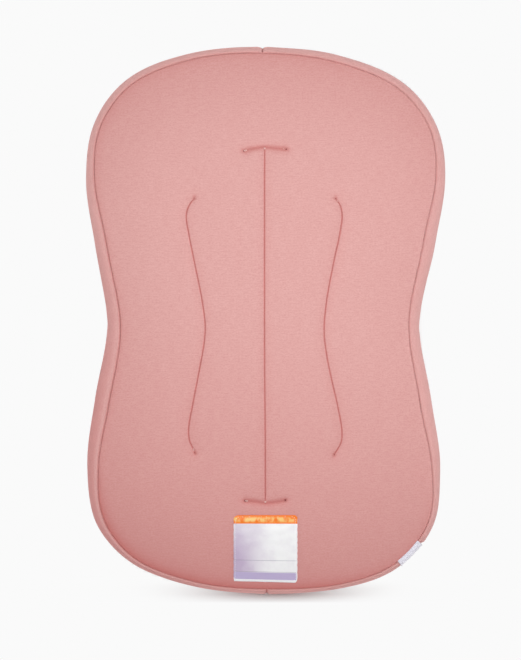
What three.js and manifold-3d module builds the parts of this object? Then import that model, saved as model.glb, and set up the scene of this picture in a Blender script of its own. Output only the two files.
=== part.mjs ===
import * as THREE from "three";
import { mergeVertices } from "three/addons/utils/BufferGeometryUtils.js";
import Module from "manifold-3d";

// An infant lounger: a flat, waisted box cushion in a zipped, padded cover.
// Lengths are in millimetres. Seen from above, +Y is the head end and +X the right side.
// +Z is up, and the origin is on the floor under the middle of the outline.

const wasm = await Module();
wasm.setup();

// Overall size of the cushion
const length = 711;
const width = 468;
const height = 102;
const topSeamHeight = 84;
const baseSeamHeight = 12;

// How far the side band bulges past the seams above and below it
const bulgeAtEnds = 8.5;
const bulgeAtWaist = 15.5;
const joinDrawIn = 1.6;
const joinReach = 6;

// Thickness of each layer
const topFabric = 2.5;
const bandFabric = 2.5;
const baseFabric = 2;
const casingFabric = 1.2;
const quiltWadding = 6;
const baseWadding = 8;
const fibreOverFoamEdge = 3;
const fibreUnderFoam = 12;
const foamInset = 28;

// Gap between two pieces that lie against each other, and the overrun of a cut
const clearance = 0.35;
const overrun = 4;

// Sewn channels in the top panel
const channelWidth = 5;
const channelDepth = 1.6;
const channelThread = 0.7;
const crossSeamHalfLength = 27;
const crossSeamBow = 4;
const contourHookReach = 10;
const contourHookLength = 20;

// Perimeter and join threads
const seamThread = 0.9;
const tackLength = 5;
const tackDiameter = 1.2;

// Label patch and side tag
const labelWidth = 83;
const labelHeight = 88;
const labelThickness = 0.5;
const labelCornerCut = 2;
const labelHem = 2.2;
const tagLength = 36;
const tagDrop = 29;
const tagThickness = 0.8;

// Zip and the pocket in the underside that it runs in
const zipLength = 400;
const zipTapeOverhang = 20;
const zipHeight = 7.6;
const zipTapeWidth = 10.3;
const zipTapeThickness = 0.8;
const zipCoilDiameter = 2.4;
const zipCoilGap = 1.2;
const zipPocketHalfWidth = 14;
const zipPocketEndRoom = 4;
const zipFlange = 5;
const zipStopLength = 5;
const zipStopThickness = 2.8;
const zipParkRoom = 1.3;

// Slider and pull tab
const sliderLength = 12;
const sliderWidth = 10;
const sliderPlate = 1;
const sliderNose = 3;
const sliderWeb = 0.6;
const sliderWebLength = 4;
const bridgeWidth = 2;
const bridgeLength = 8;
const bridgeLeg = 1;
const bridgeBar = 1;
const tabPin = 1.2;
const tabEyeGap = 0.42;
const tabLength = 24;
const tabWidth = 7;
const tabArm = 1.6;
const tabWindow = 5;
const tabThickness = 1.2;

// Outline of the right half, as shares of the half width and the half length
const outlineShares = [
  [0, 1],
  [0.42, 0.979],
  [0.775, 0.873],
  [0.954, 0.715],
  [1, 0.52],
  [0.945, 0.275],
  [0.868, -0.01],
  [0.935, -0.29],
  [0.981, -0.54],
  [0.935, -0.75],
  [0.75, -0.893],
  [0.41, -0.981],
  [0, -1],
];

// Where the sewn seams, the label patch and the side tag are on the half width and the half length
const spineHeadShare = 0.6357;
const spineFootShare = -0.6695;
const contourHeadShare = 0.4473;
const contourFootShare = -0.4824;
const contourWaistPlaceShare = -0.0253;
const contourAtWaistShare = 0.3312;
const contourAtHeadShare = 0.4338;
const contourAtFootShare = 0.4252;
const labelPlaceShare = -0.8369;
const tagAcrossShare = 0.8034;
const tagAlongShare = -0.8439;

// Rings of the crown, from the middle out to the seam
const crownRingShares = [0.25, 0.45, 0.72, 0.86, 0.93, 0.965, 1];
const layerRingShares = [0.45, 0.72, 0.93, 0.965];
const crownFlatness = 4;
const crownShoulder = 2.2;
const bandRoundness = 0.7;
const bandSteps = 6;
const stationCount = 52;

// Where the flat underside ends and how it turns up to the base seam
const baseFlatShare = 0.93;
const baseTurnShare = 0.98;
const baseTurnRiseShare = 0.38;
const baseTurnInnerShare = 0.972;
const baseWaddingFlatShare = 0.92;
const baseWaddingTopShare = 0.955;
const casingFlatShare = 0.95;

const halfWidth = width / 2;
const halfLength = length / 2;
const spineHeadEnd = spineHeadShare * halfLength;
const spineFootEnd = spineFootShare * halfLength;
const contourHeadEnd = contourHeadShare * halfLength;
const contourFootEnd = contourFootShare * halfLength;
const contourWaistPlace = contourWaistPlaceShare * halfLength;
const contourAtWaist = contourAtWaistShare * halfWidth;
const contourAtHead = contourAtHeadShare * halfWidth;
const contourAtFoot = contourAtFootShare * halfWidth;
const labelPlace = labelPlaceShare * halfLength;
const tagPlaceX = tagAcrossShare * halfWidth;
const tagPlaceY = tagAlongShare * halfLength;

const crown = height - topSeamHeight;
const midHeight = (topSeamHeight + baseSeamHeight) / 2;
const hair = 1e-9;

// Fabric colours and finishes
const rose = { color: 0xe3aca8, roughness: 0.86, metalness: 0 };
const roseBand = { color: 0xd9a09b, roughness: 0.88, metalness: 0 };
const roseBase = { color: 0xd8a19d, roughness: 0.9, metalness: 0 };
const roseThread = { color: 0xcf918d, roughness: 0.75, metalness: 0 };
const whiteSatin = { color: 0xe6e0ea, roughness: 0.45, metalness: 0 };
const whiteTape = { color: 0xf3f0f2, roughness: 0.6, metalness: 0 };
const whiteFibre = { color: 0xf5f3ee, roughness: 0.95, metalness: 0 };
const casingCloth = { color: 0xeeebe6, roughness: 0.9, metalness: 0 };
const foamBlock = { color: 0xe9dfb8, roughness: 0.95, metalness: 0 };
const zipCloth = { color: 0xcf9894, roughness: 0.8, metalness: 0 };
const zipNylon = { color: 0xd9a39f, roughness: 0.5, metalness: 0 };
const zipMetal = { color: 0xb9b9bd, roughness: 0.35, metalness: 0.9 };

const part = new THREE.Group();

function addPiece(name, geometry, finish) {
  const mesh = new THREE.Mesh(geometry, new THREE.MeshStandardMaterial(finish));
  mesh.name = name;
  part.add(mesh);
}

// A closed body from its points and triangles, with its faces turned outwards
function closedBody(points, triangles) {
  let volume = 0;
  for (const [a, b, c] of triangles) {
    volume += points[a].dot(points[b].clone().cross(points[c]));
  }
  const index = triangles.flatMap(([a, b, c]) => (volume < 0 ? [a, c, b] : [a, b, c]));
  const geometry = new THREE.BufferGeometry().setFromPoints(points);
  geometry.setIndex(index);
  geometry.computeVertexNormals();
  return geometry;
}

// Boolean solids, and the way back to a geometry
function solidOf(geometry) {
  const bare = geometry.clone();
  bare.deleteAttribute("normal");
  bare.deleteAttribute("uv");
  const merged = mergeVertices(bare);
  return new wasm.Manifold(
    new wasm.Mesh({
      numProp: 3,
      vertProperties: new Float32Array(merged.attributes.position.array),
      triVerts: new Uint32Array(merged.index.array),
    }),
  );
}

function geometryOf(solid) {
  const mesh = solid.getMesh();
  const geometry = new THREE.BufferGeometry();
  geometry.setAttribute("position", new THREE.BufferAttribute(mesh.vertProperties, 3));
  geometry.setIndex(new THREE.BufferAttribute(mesh.triVerts, 1));
  return geometry;
}

function countFrom(first, last) {
  return Array.from({ length: last - first + 1 }, (unused, i) => first + i);
}

function boxBetween(low, high) {
  const size = high.map((value, axis) => value - low[axis]);
  const box = new THREE.BoxGeometry(...size);
  return box.translate(...high.map((value, axis) => (value + low[axis]) / 2));
}

// Stations round the outline, clockwise from the head centre, each with its outward direction
function bulgeAt(y) {
  const reach = y / halfLength;
  const waistShare = (1 - reach ** 2) ** 2;
  return bulgeAtEnds + (bulgeAtWaist - bulgeAtEnds) * waistShare;
}

function makeStations() {
  const corner = ([x, y]) => new THREE.Vector3(x * halfWidth, y * halfLength, 0);
  const right = outlineShares.map(corner);
  const left = right.slice(1, -1).reverse();
  const mirrored = left.map((point) => new THREE.Vector3(-point.x, point.y, 0));
  const curve = new THREE.CatmullRomCurve3([...right, ...mirrored], true, "centripetal");
  curve.arcLengthDivisions = 2000;
  const half = [];
  for (let i = 0; i <= stationCount / 2; i += 1) {
    const along = i / stationCount;
    const point = curve.getPointAt(along);
    const tangent = curve.getTangentAt(along);
    half.push({ x: point.x, y: point.y, outX: -tangent.y, outY: tangent.x });
  }
  const widest = Math.max(...half.map((station) => station.x));
  for (const station of half) {
    station.x *= halfWidth / widest;
    station.bulge = bulgeAt(station.y);
  }
  for (const end of [half[0], half.at(-1)]) {
    end.x = 0;
    end.outX = 0;
  }
  const other = half.slice(1, -1).reverse();
  const flipped = other.map((station) => ({ ...station, x: -station.x, outX: -station.outX }));
  return [...half, ...flipped];
}

const stations = makeStations();

// A point moved in from the outline of a station
function movedIn(station, inset, z) {
  const x = station.x - station.outX * inset;
  const y = station.y - station.outY * inset;
  return new THREE.Vector3(x, y, z);
}

// Rings that follow the seam outline at a share of its reach
function seamRing(share, z, inset = 0) {
  return stations.map((station) => {
    const point = movedIn(station, station.bulge + inset, z);
    return new THREE.Vector3(point.x * share, point.y * share, z);
  });
}

// Rings that follow the bulging side, from 0 at the top seam to 1 at the base seam
function sidePoint(station, drop, inset) {
  const outShare = Math.sin(Math.PI * drop) ** bandRoundness;
  const z = THREE.MathUtils.lerp(topSeamHeight, baseSeamHeight, drop);
  return movedIn(station, station.bulge * (1 - outShare) + inset, z);
}

function sideRing(step, inset, lift = 0) {
  const ring = stations.map((station) => sidePoint(station, step / bandSteps, inset));
  for (const point of ring) {
    point.z += lift;
  }
  return ring;
}

function straightRing(inset, z) {
  return stations.map((station) => movedIn(station, inset, z));
}

// A body that goes round the outline: a pole, rings, and a pole again
function ringedBody(startHeight, rings, endHeight) {
  const points = [new THREE.Vector3(0, 0, startHeight), ...rings.flat()];
  points.push(new THREE.Vector3(0, 0, endHeight));
  const at = (ring, i) => 1 + ring * stationCount + (i % stationCount);
  const triangles = [];
  for (let i = 0; i < stationCount; i += 1) {
    triangles.push([0, at(0, i), at(0, i + 1)]);
    for (let ring = 0; ring < rings.length - 1; ring += 1) {
      triangles.push([at(ring, i), at(ring + 1, i), at(ring + 1, i + 1)]);
      triangles.push([at(ring, i), at(ring + 1, i + 1), at(ring, i + 1)]);
    }
    triangles.push([at(rings.length - 1, i), points.length - 1, at(rings.length - 1, i + 1)]);
  }
  return closedBody(points, triangles);
}

// A body swept through loops of points, closed round or capped at its ends
function sweptBody(loops, isRound = false) {
  const sides = loops[0].length;
  const points = loops.flat();
  const at = (loop, side) => (loop % loops.length) * sides + (side % sides);
  const triangles = [];
  const spans = isRound ? loops.length : loops.length - 1;
  for (let loop = 0; loop < spans; loop += 1) {
    for (let side = 0; side < sides; side += 1) {
      triangles.push([at(loop, side), at(loop + 1, side), at(loop + 1, side + 1)]);
      triangles.push([at(loop, side), at(loop + 1, side + 1), at(loop, side + 1)]);
    }
  }
  for (let side = 1; side < sides - 1 && !isRound; side += 1) {
    triangles.push([at(0, 0), at(0, side), at(0, side + 1)]);
    const last = loops.length - 1;
    triangles.push([at(last, 0), at(last, side + 1), at(last, side)]);
  }
  return closedBody(points, triangles);
}

// A sheet with a face and a back, each a grid of points with the same rows
function sheetBody(face, back) {
  const rows = face[0].length;
  const points = [...face.flat(), ...back.flat()];
  const front = (column, row) => column * rows + row;
  const behind = (column, row) => face.length * rows + front(column, row);
  const triangles = [];
  const quad = (a, b, c, d) => triangles.push([a, b, c], [a, c, d]);
  for (let column = 0; column < face.length - 1; column += 1) {
    const next = column + 1;
    for (let row = 0; row < rows - 1; row += 1) {
      quad(front(column, row), front(next, row), front(next, row + 1), front(column, row + 1));
      quad(behind(column, row), behind(column, row + 1), behind(next, row + 1), behind(next, row));
    }
    quad(front(column, 0), behind(column, 0), behind(next, 0), front(next, 0));
    const end = rows - 1;
    quad(front(column, end), front(next, end), behind(next, end), behind(column, end));
  }
  const last = face.length - 1;
  for (let row = 0; row < rows - 1; row += 1) {
    quad(front(0, row), front(0, row + 1), behind(0, row + 1), behind(0, row));
    quad(front(last, row), behind(last, row), behind(last, row + 1), front(last, row + 1));
  }
  return closedBody(points, triangles);
}

// Height of the crown above the top seam, smooth and as its rings make it
function crownRise(share) {
  return crown * (1 - share ** crownFlatness) ** (1 / crownShoulder);
}

function ringRise(share) {
  return Math.max(crownRise(share), clearance / 2);
}

function facetedRise(share) {
  let innerShare = 0;
  for (const outerShare of crownRingShares) {
    if (share <= outerShare) {
      const part = (share - innerShare) / (outerShare - innerShare);
      return THREE.MathUtils.lerp(ringRise(innerShare), ringRise(outerShare), part);
    }
    innerShare = outerShare;
  }
  return ringRise(1);
}

// Share of the way from the middle to the top seam at a place on the crown
const seamCorners = stations.map((station) => movedIn(station, station.bulge, 0));

function seamShareAt(x, y) {
  for (let i = 0; i < stationCount; i += 1) {
    const a = seamCorners[i];
    const b = seamCorners[(i + 1) % stationCount];
    const area = a.x * b.y - a.y * b.x;
    const first = (x * b.y - y * b.x) / area;
    const second = (a.x * y - a.y * x) / area;
    if (first > -hair && second > -hair) {
      return first + second;
    }
  }
  return 1;
}

function onCrown(x, y) {
  return new THREE.Vector3(x, y, topSeamHeight + facetedRise(seamShareAt(x, y)));
}

// A crowned layer that starts a depth under the crown and is so thick
function crownRings(depth, shares) {
  return shares.map((share) => seamRing(share, topSeamHeight + ringRise(share) - depth));
}

function crownLayer(depth, thickness) {
  const topPole = height - depth;
  const upper = crownRings(depth, crownRingShares);
  const lower = crownRings(depth + thickness, crownRingShares).reverse();
  return ringedBody(topPole, [...upper, ...lower], topPole - thickness);
}

// Sewn seams of the top panel, as routes seen from above
function spineRoute(endRoom = 0) {
  const steps = 18;
  return countFrom(0, steps).map((i) => {
    const y = THREE.MathUtils.lerp(spineHeadEnd - endRoom, spineFootEnd + endRoom, i / steps);
    return onCrown(0, y);
  });
}

function crossRoute(place, bow) {
  const steps = 6;
  return countFrom(0, steps).map((i) => {
    const across = (2 * i) / steps - 1;
    return onCrown(across * crossSeamHalfLength, place - bow * across ** 2);
  });
}

function contourStretch(from, to, fromX, toX) {
  const steps = 5;
  const stretch = [];
  for (let i = 0; i < steps; i += 1) {
    const waveShare = (1 - Math.cos((Math.PI * i) / steps)) / 2;
    const x = THREE.MathUtils.lerp(fromX, toX, waveShare);
    const y = THREE.MathUtils.lerp(from, to, i / steps);
    stretch.push(new THREE.Vector3(x, y, 0));
  }
  return stretch;
}

function contourRoute(side) {
  const headTurn = contourHeadEnd - contourHookLength;
  const footTurn = contourFootEnd + contourHookLength;
  const corners = [
    new THREE.Vector3(contourAtHead - contourHookReach, contourHeadEnd, 0),
    ...contourStretch(headTurn, contourWaistPlace, contourAtHead, contourAtWaist),
    ...contourStretch(contourWaistPlace, footTurn, contourAtWaist, contourAtFoot),
    new THREE.Vector3(contourAtFoot, footTurn, 0),
    new THREE.Vector3(contourAtFoot - contourHookReach, contourFootEnd, 0),
  ];
  const curve = new THREE.CatmullRomCurve3(corners, false, "centripetal");
  return curve.getSpacedPoints(20).map((point) => onCrown(side * point.x, point.y));
}

const headCross = crossRoute(spineHeadEnd, crossSeamBow);
const footCross = crossRoute(spineFootEnd, -crossSeamBow);

// Sideways direction of a route at one of its points
function sidewaysAt(route, i) {
  const before = route[Math.max(i - 1, 0)];
  const after = route[Math.min(i + 1, route.length - 1)];
  return new THREE.Vector3(before.y - after.y, after.x - before.x, 0).normalize();
}

function channelCut(route) {
  const reach = ((channelWidth / 2) * (channelDepth + overrun)) / channelDepth;
  const loops = route.map((point, i) => {
    const sideways = sidewaysAt(route, i).multiplyScalar(reach);
    const shoulder = new THREE.Vector3(point.x, point.y, point.z + overrun);
    const bottom = new THREE.Vector3(point.x, point.y, point.z - channelDepth);
    return [shoulder.clone().add(sideways), bottom, shoulder.clone().sub(sideways)];
  });
  return solidOf(sweptBody(loops));
}

// Height of a thread's middle over the bottom of its channel, clear of both sides
function threadLift() {
  const slope = Math.hypot(channelDepth, channelWidth / 2) / (channelWidth / 2);
  return (channelThread / 2 + clearance) * slope;
}

function diamondRound(middle, across, up) {
  return [
    middle.clone().add(across),
    middle.clone().add(up),
    middle.clone().sub(across),
    middle.clone().sub(up),
  ];
}

// Top panel of the cover, with its sewn channels
function topPanel() {
  const lap = seamRing(1, topSeamHeight + clearance / 2, bandFabric);
  const under = crownRings(topFabric, layerRingShares).reverse();
  const rings = [...crownRings(0, crownRingShares), lap, ...under];
  let panel = solidOf(ringedBody(height, rings, height - topFabric));
  const routes = [spineRoute(), headCross, footCross, contourRoute(-1), contourRoute(1)];
  for (const route of routes) {
    panel = panel.subtract(channelCut(route));
  }
  return geometryOf(panel);
}

function channelThreadBody(route) {
  const lift = threadLift() - channelDepth;
  const loops = route.map((point, i) => {
    const sideways = sidewaysAt(route, i).multiplyScalar(channelThread / 2);
    const middle = new THREE.Vector3(point.x, point.y, point.z + lift);
    return diamondRound(middle, sideways, new THREE.Vector3(0, 0, channelThread / 2));
  });
  return sweptBody(loops);
}

// A short bar of thread across the end of a seam
function tack(route, end) {
  const i = end === "start" ? 0 : route.length - 1;
  const sideways = sidewaysAt(route, i);
  const bar = new THREE.CapsuleGeometry(tackDiameter / 2, tackLength - tackDiameter, 2, 6);
  bar.applyQuaternion(new THREE.Quaternion().setFromUnitVectors(THREE.Object3D.DEFAULT_UP, sideways));
  const lift = clearance + tackDiameter / 2;
  return bar.translate(route[i].x, route[i].y, route[i].z + lift);
}

// Layers under the top panel
const quiltDepth = topFabric + clearance;
const casingDepth = quiltDepth + quiltWadding + clearance;
const fibreDepth = casingDepth + casingFabric + clearance;
const edgeShare = layerRingShares.at(-1);

function topQuiltWadding() {
  const upper = crownRings(quiltDepth, layerRingShares);
  const lower = crownRings(quiltDepth + quiltWadding, layerRingShares).reverse();
  const topPole = height - quiltDepth;
  return ringedBody(topPole, [...upper, ...lower], topPole - quiltWadding);
}

// The casing and the fibre wrap follow the band from the shoulder down to the middle
const casingInset = bandFabric + clearance;
const fibreInset = casingInset + casingFabric + clearance;

function upperShell(depth, inset) {
  const sides = countFrom(1, bandSteps / 2 - 1).map((step) => sideRing(step, inset));
  const rim = sideRing(bandSteps / 2, inset, clearance / 2);
  return [...crownRings(depth, layerRingShares), ...sides, rim];
}

function innerCasingTop() {
  const outer = upperShell(casingDepth, casingInset);
  const inner = upperShell(casingDepth + casingFabric, casingInset + casingFabric).reverse();
  const topPole = height - casingDepth;
  return ringedBody(topPole, [...outer, ...inner], topPole - casingFabric);
}

const foamTop = topSeamHeight + crownRise(edgeShare) - fibreDepth - fibreOverFoamEdge;
const baseStack = baseFabric + clearance + baseWadding + clearance;
const foamBottom = baseStack + casingFabric + clearance + fibreUnderFoam + clearance;

function fibreWrapTop() {
  const outer = upperShell(fibreDepth, fibreInset);
  const rim = straightRing(foamInset - clearance, midHeight + clearance / 2);
  const hollow = straightRing(foamInset - clearance, foamTop + clearance);
  return ringedBody(height - fibreDepth, [...outer, rim, hollow], foamTop + clearance);
}

function foamCore() {
  const rings = [straightRing(foamInset, foamTop), straightRing(foamInset, foamBottom)];
  return ringedBody(foamTop, rings, foamBottom);
}

function lowerShell(bottom, inset) {
  const rim = sideRing(bandSteps / 2, inset, -clearance / 2);
  const sides = countFrom(bandSteps / 2 + 1, bandSteps - 1).map((step) => sideRing(step, inset));
  return [rim, ...sides, seamRing(casingFlatShare, bottom)];
}

function fibreWrapBase() {
  const bottom = baseStack + casingFabric + clearance;
  const hollow = straightRing(foamInset - clearance, foamBottom - clearance);
  const rim = straightRing(foamInset - clearance, midHeight - clearance / 2);
  return ringedBody(foamBottom - clearance, [hollow, rim, ...lowerShell(bottom, fibreInset)], bottom);
}

function innerCasingBase() {
  const inner = lowerShell(baseStack + casingFabric, casingInset + casingFabric).reverse();
  const outer = lowerShell(baseStack, casingInset);
  return ringedBody(baseStack + casingFabric, [...inner, ...outer], baseStack);
}

// Side band, one length round each side, drawn in at the head and foot joins
function bandColumn(side, from, to, along, drawIn, inset, drops) {
  const flip = new THREE.Vector3(side, 1, 1);
  return drops.map((drop) => {
    const pull = inset + drawIn * Math.sin(Math.PI * drop);
    const a = sidePoint(stations[from], drop, pull);
    const b = sidePoint(stations[to], drop, pull);
    return a.lerp(b, along).multiply(flip);
  });
}

function sideBand(side) {
  const half = stationCount / 2;
  const span = stations[0].x - stations[1].x;
  const joinShare = clearance / 2 / Math.abs(span);
  const reachShare = joinReach / Math.abs(span);
  const drops = countFrom(0, bandSteps).map((step) => step / bandSteps);
  const columns = [[0, 1, joinShare, joinDrawIn], [0, 1, reachShare, 0]];
  for (let i = 1; i < half; i += 1) {
    columns.push([i, i, 0, 0]);
  }
  columns.push([half, half - 1, reachShare, 0], [half, half - 1, joinShare, joinDrawIn]);
  const grid = (inset, isFace) => columns.map(([from, to, along, drawIn]) => {
    const column = bandColumn(side, from, to, along, isFace ? drawIn : 0, inset, drops);
    column[0].z -= clearance / 2;
    column.at(-1).z += clearance / 2;
    return column;
  });
  return sheetBody(grid(0, true), grid(bandFabric, false));
}

// Underside of the cover in two halves, each folded up and in along the zip pocket
const zipTapeHalf = zipTapeThickness / 2;
const flangeTop = zipHeight - zipTapeHalf - clearance;
const zipPocketHalfLength = zipLength / 2 + zipTapeOverhang + zipPocketEndRoom;
const outside = width + length;

function basePanelDisc() {
  const seamFace = baseSeamHeight - clearance / 2;
  const turnRise = baseSeamHeight * baseTurnRiseShare;
  const rings = [
    seamRing(baseFlatShare, baseFabric),
    seamRing(baseTurnInnerShare, baseFabric + turnRise),
    seamRing(1, seamFace, bandFabric),
    seamRing(1, seamFace),
    seamRing(baseTurnShare, turnRise),
    seamRing(baseFlatShare, 0),
  ];
  return solidOf(ringedBody(baseFabric, rings, 0));
}

function sided(side, from, to) {
  return side < 0 ? [-to, -from] : [from, to];
}

function slab(side, fromX, toX, halfY, fromZ, toZ) {
  const [lowX, highX] = sided(side, fromX, toX);
  return solidOf(boxBetween([lowX, -halfY, fromZ], [highX, halfY, toZ]));
}

function basePanel(side) {
  const wallOut = zipPocketHalfWidth + baseFabric;
  const wallEnd = zipPocketHalfLength + baseFabric;
  const flangeIn = zipPocketHalfWidth - zipFlange;
  const fold = slab(0, -wallOut, wallOut, wallEnd, baseFabric / 2, flangeTop);
  const pocket = slab(
    0,
    -zipPocketHalfWidth,
    zipPocketHalfWidth,
    zipPocketHalfLength,
    -overrun,
    flangeTop - baseFabric,
  );
  const zipSlot = slab(0, -flangeIn, flangeIn, zipPocketHalfLength, -overrun, flangeTop + overrun);
  const keep = slab(side, clearance / 2, outside, outside, -outside, outside);
  return geometryOf(basePanelDisc().add(fold).subtract(pocket).subtract(zipSlot).intersect(keep));
}

function baseWaddingHalf(side) {
  const bottom = baseFabric + clearance;
  const top = bottom + baseWadding;
  const rings = [seamRing(baseWaddingTopShare, top), seamRing(baseWaddingFlatShare, bottom)];
  const joinRoom = seamThread + clearance;
  const keep = slab(side, joinRoom, outside, outside, -outside, outside);
  const pocketX = zipPocketHalfWidth + baseFabric + clearance;
  const pocketY = zipPocketHalfLength + baseFabric + clearance;
  const pocket = slab(0, -pocketX, pocketX, pocketY, -outside, outside);
  return geometryOf(solidOf(ringedBody(top, rings, bottom)).intersect(keep).subtract(pocket));
}

// Perimeter seams, sewn on the inside where the panels meet the band
function perimeterThread(z) {
  const reach = seamThread / 2;
  const loops = stations.map((station) => {
    const middle = movedIn(station, station.bulge + bandFabric + clearance + reach, z);
    const out = new THREE.Vector3(station.outX, station.outY, 0).multiplyScalar(reach);
    return diamondRound(middle, out, new THREE.Vector3(0, 0, reach));
  });
  return sweptBody(loops, true);
}

// Label patch and the stitches round it, both lying on the crown
function labelPlan(inset) {
  const shape = new THREE.Shape();
  const x = labelWidth / 2 - inset;
  const y = labelHeight / 2 - inset;
  shape.moveTo(-x, y);
  shape.lineTo(-x, labelCornerCut - y);
  shape.lineTo(labelCornerCut - x, -y);
  shape.lineTo(x - labelCornerCut, -y);
  shape.lineTo(x, labelCornerCut - y);
  shape.lineTo(x, y);
  shape.closePath();
  return shape;
}

function labelPrism(shape) {
  const prism = new THREE.ExtrudeGeometry(shape, { depth: height, bevelEnabled: false });
  return solidOf(prism.translate(0, labelPlace, baseSeamHeight));
}

function labelPatch() {
  const layer = solidOf(crownLayer(-clearance - labelThickness, labelThickness));
  return geometryOf(layer.intersect(labelPrism(labelPlan(0))));
}

function labelStitching() {
  const shape = labelPlan(labelHem);
  shape.holes.push(labelPlan(labelHem + channelThread));
  const over = 2 * clearance + labelThickness + channelThread;
  const layer = solidOf(crownLayer(-over, channelThread));
  return geometryOf(layer.intersect(labelPrism(shape)));
}

// Side tag, sewn into the top seam and lying over the band
function sideTag() {
  const drops = countFrom(0, bandSteps / 2).map((step) => step / bandSteps);
  const column = (inset) => (station) => drops.map((drop) => sidePoint(station, drop, inset));
  const reach = stations.slice(0, stationCount / 2);
  const face = reach.map(column(-clearance - tagThickness));
  const back = reach.map(column(-clearance));
  const turn = Math.atan2(tagPlaceY, tagPlaceX);
  const depth = 2 * (bulgeAtWaist + tagDrop);
  const bounds = boxBetween(
    [-depth, -tagLength / 2, topSeamHeight - tagDrop],
    [depth, tagLength / 2, topSeamHeight - clearance],
  );
  bounds.rotateZ(turn).translate(tagPlaceX, tagPlaceY, 0);
  return geometryOf(solidOf(sheetBody(face, back)).intersect(solidOf(bounds)));
}

// Zip: tapes, coils and end stops
const coilOut = zipCoilGap / 2 + zipCoilDiameter;
const tapeIn = coilOut + clearance;

function zipTape(side) {
  const tapeReach = zipLength / 2 + zipTapeOverhang;
  const low = zipHeight - zipTapeHalf;
  return geometryOf(slab(side, tapeIn, tapeIn + zipTapeWidth, tapeReach, low, zipHeight + zipTapeHalf));
}

function zipCoil(side) {
  const coilLength = zipLength - 2 * zipStopLength;
  const coil = new THREE.CylinderGeometry(zipCoilDiameter / 2, zipCoilDiameter / 2, coilLength, 8);
  return coil.translate(side * (coilOut - zipCoilDiameter / 2), 0, zipHeight);
}

function zipStop(lowX, highX, end) {
  const reach = zipLength / 2;
  const near = reach - zipStopLength + clearance;
  const [lowY, highY] = end > 0 ? [near, reach] : [-reach, -near];
  const low = zipHeight - zipStopThickness / 2;
  return boxBetween([lowX, lowY, low], [highX, highY, low + zipStopThickness]);
}

function zipStitching(side) {
  const middle = zipPocketHalfWidth - zipFlange / 2;
  const high = flangeTop - baseFabric - clearance;
  const from = middle - seamThread / 2;
  const to = middle + seamThread / 2;
  return geometryOf(slab(side, from, to, zipPocketHalfLength, high - seamThread, high));
}

// Threads of the short joins at the two ends of the underside, and up the band joins
function baseJoinThread(end) {
  const from = zipPocketHalfLength + baseFabric + clearance;
  const to = (halfLength - bulgeAtEnds) * baseWaddingFlatShare;
  const [lowY, highY] = end > 0 ? [from, to] : [-to, -from];
  const low = baseFabric + clearance;
  return boxBetween([-seamThread / 2, lowY, low], [seamThread / 2, highY, low + seamThread]);
}

function bandJoinThread(end) {
  const station = stations[end > 0 ? 0 : stationCount / 2];
  const reach = seamThread / 2;
  const loops = countFrom(0, bandSteps).map((step) => {
    const drop = step / bandSteps;
    const inset = joinDrawIn * Math.sin(Math.PI * drop) - clearance - reach;
    const middle = sidePoint(station, drop, inset);
    return diamondRound(middle, new THREE.Vector3(reach, 0, 0), new THREE.Vector3(0, reach, 0));
  });
  return sweptBody(loops);
}

// Slider, parked at the closed end of the zip
const sliderPark = -zipLength / 2 + zipStopLength + zipParkRoom + sliderLength / 2;
const plateGap = zipCoilDiameter / 2 + clearance;
const sliderBottom = zipHeight - plateGap - sliderPlate;

function sliderPlan() {
  const shape = new THREE.Shape();
  const x = sliderWidth / 2;
  const y = sliderLength / 2;
  shape.moveTo(-x, y - sliderNose);
  shape.lineTo(-x + sliderNose / 2, -y);
  shape.lineTo(x - sliderNose / 2, -y);
  shape.lineTo(x, y - sliderNose);
  shape.lineTo(x - sliderNose, y);
  shape.lineTo(sliderNose - x, y);
  shape.closePath();
  return shape;
}

function sliderPlateAt(z) {
  const plate = new THREE.ExtrudeGeometry(sliderPlan(), { depth: sliderPlate, bevelEnabled: false });
  return solidOf(plate.translate(0, 0, z));
}

function sliderLip(side, fromZ, toZ) {
  const [lowX, highX] = sided(side, tapeIn, sliderWidth / 2 - sliderNose / 4);
  const halfY = sliderLength / 2 - sliderNose;
  return solidOf(boxBetween([lowX, -halfY, fromZ], [highX, halfY, toZ]));
}

function sliderBridge() {
  const eye = tabPin + 2 * tabEyeGap;
  const shape = new THREE.Shape();
  const y = bridgeLength / 2;
  const low = -eye - bridgeBar;
  shape.moveTo(-y, sliderPlate / 2);
  shape.lineTo(-y, -eye / 2);
  shape.lineTo(bridgeBar - y, low);
  shape.lineTo(y - bridgeBar, low);
  shape.lineTo(y, -eye / 2);
  shape.lineTo(y, sliderPlate / 2);
  shape.closePath();
  const hole = new THREE.Path();
  hole.moveTo(bridgeLeg - y, 0);
  hole.lineTo(bridgeLeg - y, -eye);
  hole.lineTo(y - bridgeLeg, -eye);
  hole.lineTo(y - bridgeLeg, 0);
  hole.closePath();
  shape.holes.push(hole);
  const bridge = new THREE.ExtrudeGeometry(shape, { depth: bridgeWidth, bevelEnabled: false });
  bridge.translate(0, 0, -bridgeWidth / 2).rotateX(Math.PI / 2).rotateZ(Math.PI / 2);
  return solidOf(bridge.translate(0, 0, sliderBottom));
}

function zipSlider() {
  const lowInner = zipHeight - plateGap;
  const highInner = zipHeight + plateGap;
  const lipEnd = zipTapeHalf + clearance;
  let slider = sliderPlateAt(sliderBottom).add(sliderPlateAt(highInner));
  for (const side of [-1, 1]) {
    slider = slider.add(sliderLip(side, lowInner - sliderPlate / 2, zipHeight - lipEnd));
    slider = slider.add(sliderLip(side, zipHeight + lipEnd, highInner + sliderPlate / 2));
  }
  const web = boxBetween(
    [-sliderWeb / 2, -sliderWebLength / 2, sliderBottom + sliderPlate / 2],
    [sliderWeb / 2, sliderWebLength / 2, highInner + sliderPlate / 2],
  );
  return geometryOf(slider.add(solidOf(web)).add(sliderBridge())).translate(0, sliderPark, 0);
}

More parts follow.
